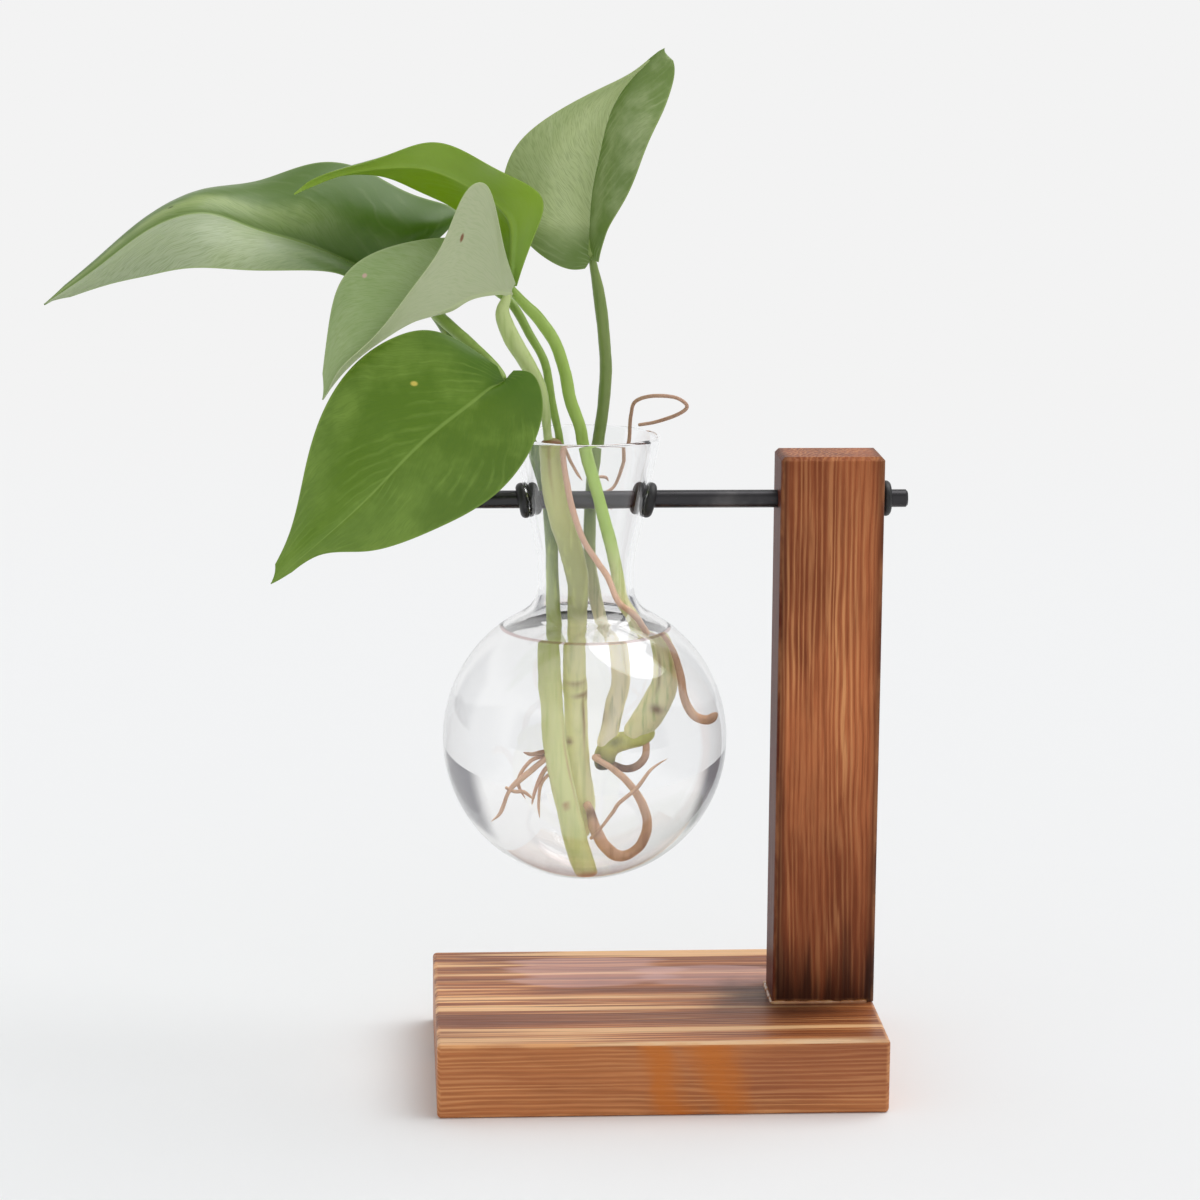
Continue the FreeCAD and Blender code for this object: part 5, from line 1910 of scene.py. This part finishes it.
ROOTS_LEFT = (
    {
        B: [
            (-0.190, -0.040, -0.070, 0.9), (-0.248, -0.040, -0.08, 0.9), (-0.300, -0.035, -0.09, 0.8),
            (-0.345, -0.025, -0.08, 0.6),
        ],
    },
    {
        B: [
            (-0.180, -0.040, -0.080, 1.0), (-0.242, -0.045, -0.13, 1.0), (-0.325, -0.050, -0.20, 1.1),
            (-0.390, -0.065, -0.25, 1.0), (-0.435, -0.080, -0.30, 0.8), (-0.485, -0.090, -0.42, 0.8),
            (-0.550, -0.100, -0.48, 0.6),
        ],
    },
    {
        B: [
            (-0.180, -0.03, -0.09, 0.7), (-0.30, -0.02, -0.13, 0.7), (-0.37, -0.03, -0.24, 0.7),
            (-0.33, -0.05, -0.34, 0.5),
        ],
    },
    {
        B: [
            (-0.455, -0.085, -0.27, 0.6), (-0.40, -0.07, -0.295, 0.7), (-0.34, -0.05, -0.30, 0.7),
            (-0.28, -0.03, -0.345, 0.5),
        ],
    },
    {
        B: [
            (-0.160, -0.03, -0.17, 0.6), (-0.235, -0.02, -0.25, 0.6), (-0.25, -0.01, -0.36, 0.5),
            (-0.242, 0.0, -0.45, 0.4),
        ],
    },
    {
        B: [
            (-0.170, -0.040, -0.12, 0.8), (-0.228, -0.030, -0.19, 0.8), (-0.268, -0.005, -0.29, 0.7),
            (-0.285, 0.010, -0.38, 0.6),
        ],
    },
)
ROOTS_RIGHT = {
    B: [
        (0.030, -0.050, -0.560, 0.6), (0.083, -0.085, -0.50, 0.6), (0.150, -0.110, -0.41, 0.7),
        (0.190, -0.125, -0.35, 0.7), (0.285, -0.125, -0.27, 0.7), (0.370, -0.110, -0.165, 0.6),
        (0.460, -0.080, -0.11, 0.5),
    ],
}
ROOTS_NECK = (
    {
        N: [
            (0.18, 0.50, -0.30, 0.7), (0.30, 0.61, -0.30, 0.7), (0.50, 0.78, -0.31, 0.8),
            (0.58, 0.86, -0.34, 0.6),
        ],
    },
    {
        N: [
            (-0.58, -0.52, -0.06, 0.6), (-0.40, -0.66, -0.14, 0.7), (-0.22, -0.66, -0.23, 0.6),
            (-0.12, -0.60, -0.27, 0.4),
        ],
    },
    {
        N: [
            (0.15, 0.48, -0.36, 0.7), (0.27, 0.64, -0.38, 0.7), (0.50, 0.78, -0.45, 0.7),
            (0.66, 0.80, -0.53, 0.5),
        ],
    },
)


@dataclass
class Cuttings:
    """The stalks, vines and roots."""

    petiole_radius: float = 1.7 * MM
    vine_radius: float = 2.5 * MM
    sheath_radius: float = 2.2 * MM
    root_radius: float = 0.6 * MM
    thick_root_radius: float = 1.2 * MM
    hooked_root_radius: float = 0.75 * MM
    cut_end_radius: float = 2.1 * MM
    scar: Colour = colour(120, 72, 36)

    def stalks(self) -> list[Stem]:
        """The five leaf stalks, the folded leaf's in its sheath.

        Returns:
            The stems.
        """
        thick, scar = self.petiole_radius, self.scar
        # each finish's second colour, below the water, is brightened with painted light
        green = StemFinish(
            "stalk_green", colour(150, 178, 86), colour(240, 242, 190), colour(112, 146, 52), scar
        )
        bright = StemFinish(
            "stalk_bright", colour(160, 190, 90), colour(246, 240, 190), colour(142, 176, 62), scar
        )
        deep = StemFinish(
            "stalk_deep", colour(128, 148, 78), colour(246, 236, 202), colour(92, 122, 46), scar,
            olive_share=0.35,
        )
        pale = StemFinish(
            "sheath_pale", colour(200, 216, 146), colour(232, 232, 190), colour(158, 184, 92), scar
        )
        upright_mark = Mark(height=0.1005, long=2 * MM, around=-math.pi / 2, broad=1.1, depth=0.5)
        arched_marks = [
            Mark(height=0.1120, long=5 * MM, around=3.6, broad=0.16, depth=0.7),
            Mark(height=0.1035, around=3.0, broad=0.5),
        ]
        return [
            Stem("front_stalk", ("petiole_front",), PETIOLE_FRONT, thick, green, "stem"),
            Stem(
                "upright_stalk", ("petiole_upright",), PETIOLE_UPRIGHT, thick, deep, "stem",
                marks=[upright_mark],
            ),
            Stem(
                "arched_stalk", ("petiole_arched",), PETIOLE_ARCHED, thick, bright, "stem",
                marks=arched_marks,
            ),
            Stem("left_stalk", ("petiole_left",), PETIOLE_LEFT, thick, green, "stem"),
            Stem("folded_sheath", ("petiole_folded",), PETIOLE_FOLDED, self.sheath_radius, pale, "sheath"),
        ]

    def vines(self) -> list[Stem]:
        """The left vine, the thick cane in the middle and the offcut between the stalks.

        Returns:
            The stems.
        """
        # each finish's second colour, below the water, is brightened with painted light
        vine = StemFinish(
            "vine_green", colour(112, 138, 72), colour(230, 234, 166), colour(196, 212, 120),
            colour(176, 96, 34), turn_low=0.104, olive_share=0.35,
        )
        cane = StemFinish(
            "cane_pale", colour(186, 188, 120), colour(246, 244, 184), colour(196, 204, 128),
            colour(140, 84, 46), olive_share=0.75,
        )
        offcut = StemFinish(
            "offcut_green", colour(150, 160, 80), colour(206, 206, 120), colour(150, 140, 66),
            colour(58, 28, 16),
        )
        return [
            Stem(
                "left_vine", ("vine_left",), VINE_LEFT, self.vine_radius, vine, "vine",
                rings=[(0.735, 0.06, 1.5 * MM)],
                marks=[
                    Mark(share=1.0, long=1.6 * MM),
                    Mark(height=0.0828, around=3.3, long=0.6 * MM, broad=0.3),
                    Mark(height=0.0905, around=2.2, long=7 * MM, broad=0.10, depth=0.5),
                ],
            ),
            Stem(
                "middle_cane", ("vine_middle",), VINE_MIDDLE, self.vine_radius, cane, "vine",
                rings=[(0.0, 0.05, 1.2 * MM), (0.70, 0.05, 1.4 * MM)],
                marks=[
                    Mark(height=0.1822, long=1.1 * MM, depth=1.0),
                    Mark(height=0.1092, long=0.45 * MM, broad=1.3),
                    Mark(height=0.1065, around=2.4, long=0.35 * MM, broad=0.9, depth=0.8),
                    Mark(height=0.1005, around=2.5, long=6 * MM, broad=0.14, depth=0.8),
                    Mark(height=0.0960, around=3.9, long=0.7 * MM, broad=0.35),
                    Mark(height=0.1060, around=1.9, long=0.6 * MM, broad=0.3),
                    Mark(height=0.1780, around=3.4, long=9 * MM, broad=0.12, depth=0.5),
                ],
            ),
            Stem(
                "offcut_vine", ("vine_offcut",), VINE_OFFCUT, self.cut_end_radius, offcut, "vine",
                marks=[
                    Mark(share=1.0, long=3.2 * MM, depth=1.0),
                    Mark(share=0.55, around=3.5, long=1.4 * MM, broad=0.5, depth=0.6),
                ],
                lumps=0.07,
            ),
        ]

    def roots(self) -> list[Stem]:
        """Every root, with the rootlets in three groups.

        Returns:
            The roots.
        """
        thin = self.root_radius
        # the second colour, below the water, is brightened with painted light
        brown = StemFinish(
            "root_brown", colour(196, 158, 134), colour(226, 184, 152), colour(176, 130, 100),
            colour(96, 60, 42), 0.5,
        )
        curl_marks = [Mark(share=0.93, long=1.2 * MM, depth=0.7)]
        hook_marks = [Mark(share=0.75, long=5 * MM, depth=0.85)]
        left_marks = [Mark(height=0.0945, long=1.5 * MM, depth=0.6)]
        single = (
            ("long_root", "root_long", ROOT_LONG, thin, 0.03, 18, 0.02, []),
            ("curled_root", "root_curl", ROOT_CURL, self.thick_root_radius, 0.05, 20, 0.0, curl_marks),
            ("hooked_root", "root_hook", ROOT_HOOK, self.hooked_root_radius, 0.03, 16, 0.0, hook_marks),
            ("looped_root", "root_loop", ROOT_LOOP, thin, 0.03, 16, 0.0, []),
            ("left_rootlets", "roots_left", ROOTS_LEFT, thin, 0.06, 12, 0.2, left_marks),
            ("right_rootlet", "roots_right", ROOTS_RIGHT, thin, 0.06, 12, 0.2, []),
            ("neck_rootlets", "roots_neck", ROOTS_NECK, thin, 0.06, 12, 0.2, []),
        )
        return [
            Stem(name, (node,), route, radius, brown, "root", marks=marks, lumps=lumps, tip=tip, sides=sides)
            for name, node, route, radius, lumps, sides, tip, marks in single
        ]

    def build(self) -> None:
        """Builds every stem and root."""
        for stem in self.stalks() + self.vines() + self.roots():
            report(stem.build())


# ------------------------------------------------------------------ studio and camera


@dataclass
class Studio:
    """Floor, soft light, sky and camera."""

    backdrop: Colour = colour(243, 243, 243)
    sky_light: float = 0.60
    light_in_water: float = 1.25
    sky_bands: tuple = ((0.0, 0.90), (0.50, 0.89), (0.66, 0.56), (0.84, 0.62), (0.94, 0.90))
    sky_flags: tuple = (("X", 0.48, 0.62), ("Y", 0.30, 0.48), ("Z", 0.48, 0.36))
    flag_tone: Colour = (0.23, 0.23, 0.25, 1.0)
    sun_share: float = 0.40
    sun_from: Triple = (0.50, 0.16, 1.0)
    sun_degrees: float = 50.0
    floor_radius: float = 3.0
    floor_rings: int = 23
    floor_sides: int = 96
    fade: tuple = (0.5, 1.6)
    eye: Triple = (-0.0744, -0.9613, 0.3239)
    eye_degrees: Triple = (-3.479, 11.021, 0.385)
    lens: float = 105.0

    def sky(self) -> None:
        """An even sky for lighting; the camera sees the backdrop's colour, gloss and glass see
        bands and flags, and what stands in the water is lit more strongly."""
        world = bpy.data.worlds.new("studio_sky")
        bpy.context.scene.world = world
        graph = Graph(world)
        even = graph.node("Background", {"Color": WHITE, "Strength": self.sky_light})
        inside = graph.node("Background", {"Color": WHITE, "Strength": self.light_in_water})
        seen = graph.node("Background", {"Color": self.backdrop})
        mirrored = graph.node("Background", {"Color": self.mirrored(graph)})
        reflected = graph.light("Is Glossy Ray").maths("MAXIMUM", graph.light("Is Transmission Ray"))
        bounced = graph.light("Diffuse Depth").above(0.5)
        lit = graph.mixed(reflected, even, graph.mixed(bounced, mirrored, inside))
        graph.end("OutputWorld", graph.mixed(graph.light("Is Camera Ray"), lit, seen))

    def mirrored(self, graph: Graph) -> Wire:
        """The mirrored sky's colour: grey bands by height, darkened low down in four diagonal
        directions, where the three flags overlap.

        Args:
            graph: the world's nodes.

        Returns:
            The colour.
        """
        bands = graph.ramp(graph.direction.axis("Z"), self.sky_bands)
        x, y, z = (abs(graph.direction.axis(name)).between(start, end) for name, start, end in self.sky_flags)
        return graph.blend(x * y * z, bands, self.flag_tone)

    def lamp(self) -> None:
        """One broad, soft sun from above, to the right and a little behind."""
        towards = Vector(self.sun_from).normalized()
        light = bpy.data.lights.new("soft_sun", "SUN")
        light.energy = self.sun_share * math.pi / towards.z
        light.angle = math.radians(self.sun_degrees)
        sun = bpy.data.objects.new("soft_sun", light)
        sun.rotation_euler = towards.to_track_quat("Z", "Y").to_euler()
        bpy.context.scene.collection.objects.link(sun)

    def floor(self) -> bpy.types.Object:
        """A flat round floor whose colour fades, far out, into the sky that the camera sees.

        Returns:
            The floor.
        """
        rings, sides = self.floor_rings, self.floor_sides
        radius = np.linspace(0, 1, rings + 1)[1:, None] ** 1.5 * self.floor_radius
        turn = round_turn(sides)[None, :]
        points = np.stack([radius * np.cos(turn), radius * np.sin(turn), np.zeros((rings, sides))], -1)
        points = np.concatenate([points.reshape(-1, 3), [(0.0, 0.0, 0.0)]])
        faces = grid_quads(rings, sides, loop_columns=True).tolist()
        faces += fan(len(points) - 1, np.arange(sides))[:, ::-1].tolist()
        mesh = bpy.data.meshes.new("studio_floor")
        mesh.from_pydata(points.tolist(), [], faces)
        piece = bpy.data.objects.new("studio_floor", mesh)
        bpy.context.scene.collection.objects.link(piece)
        dress(piece, self.paper())
        return piece

    def paper(self) -> bpy.types.Material:
        """The floor's paper, which glows in the backdrop's colour far out.

        Returns:
            The material.
        """
        recipe = Recipe("studio_paper")
        tone = recipe.blend(recipe.place.noise(40.0) * 0.05, colour(243, 244, 245), colour(232, 232, 233))
        paper = recipe.principled(Base_Color=tone, Roughness=0.9, Specular_IOR_Level=0.0)
        glow = recipe.node("Emission", {"Color": self.backdrop})
        share = recipe.place.length().between(*self.fade) * recipe.light("Is Camera Ray")
        return recipe.finish(recipe.mixed(share, paper, glow))

    def camera(self) -> None:
        """The photograph's viewpoint: above and far in front, turned and tilted a little."""
        turn, tilt, roll = (math.radians(angle) for angle in self.eye_degrees)
        forward = Vector((-math.sin(turn) * math.cos(tilt), math.cos(turn) * math.cos(tilt), -math.sin(tilt)))
        right = forward.cross(Vector((0.0, 0.0, 1.0))).normalized()
        up = right.cross(forward)
        rolled = right * math.cos(roll) + up * math.sin(roll)
        above = up * math.cos(roll) - right * math.sin(roll)
        lens = bpy.data.cameras.new("camera")
        lens.lens = self.lens
        lens.sensor_width = 36.0
        lens.clip_start = 0.01
        lens.clip_end = 200.0
        camera = bpy.data.objects.new("camera", lens)
        axes = Matrix((rolled, above, -forward)).transposed().to_4x4()
        camera.matrix_world = Matrix.Translation(self.eye) @ axes
        bpy.context.scene.collection.objects.link(camera)
        bpy.context.scene.camera = camera

    def build(self) -> None:
        """Sets up the whole studio."""
        bpy.context.scene.view_settings.view_transform = "Standard"
        self.camera()
        self.sky()
        self.lamp()
        report(self.floor())


def corners(bounds: Box) -> list[list[float]]:
    """A box as plain lists of numbers."""
    return [list(map(float, corner)) for corner in bounds]


def main() -> None:
    """Clears Blender's starting scene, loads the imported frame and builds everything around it."""
    logging.basicConfig(level=logging.INFO, format="%(name)s: %(message)s")
    for name in ("Cube", "Camera", "Light"):
        if name in bpy.data.objects:
            bpy.data.objects.remove(bpy.data.objects[name])
    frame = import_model()
    Studio().build()
    Stand().build(frame["nodes"])
    Hanger().build(frame["nodes"])
    Vessel().build()
    Foliage().build()
    Cuttings().build()


if __name__ == "__main__":
    main()
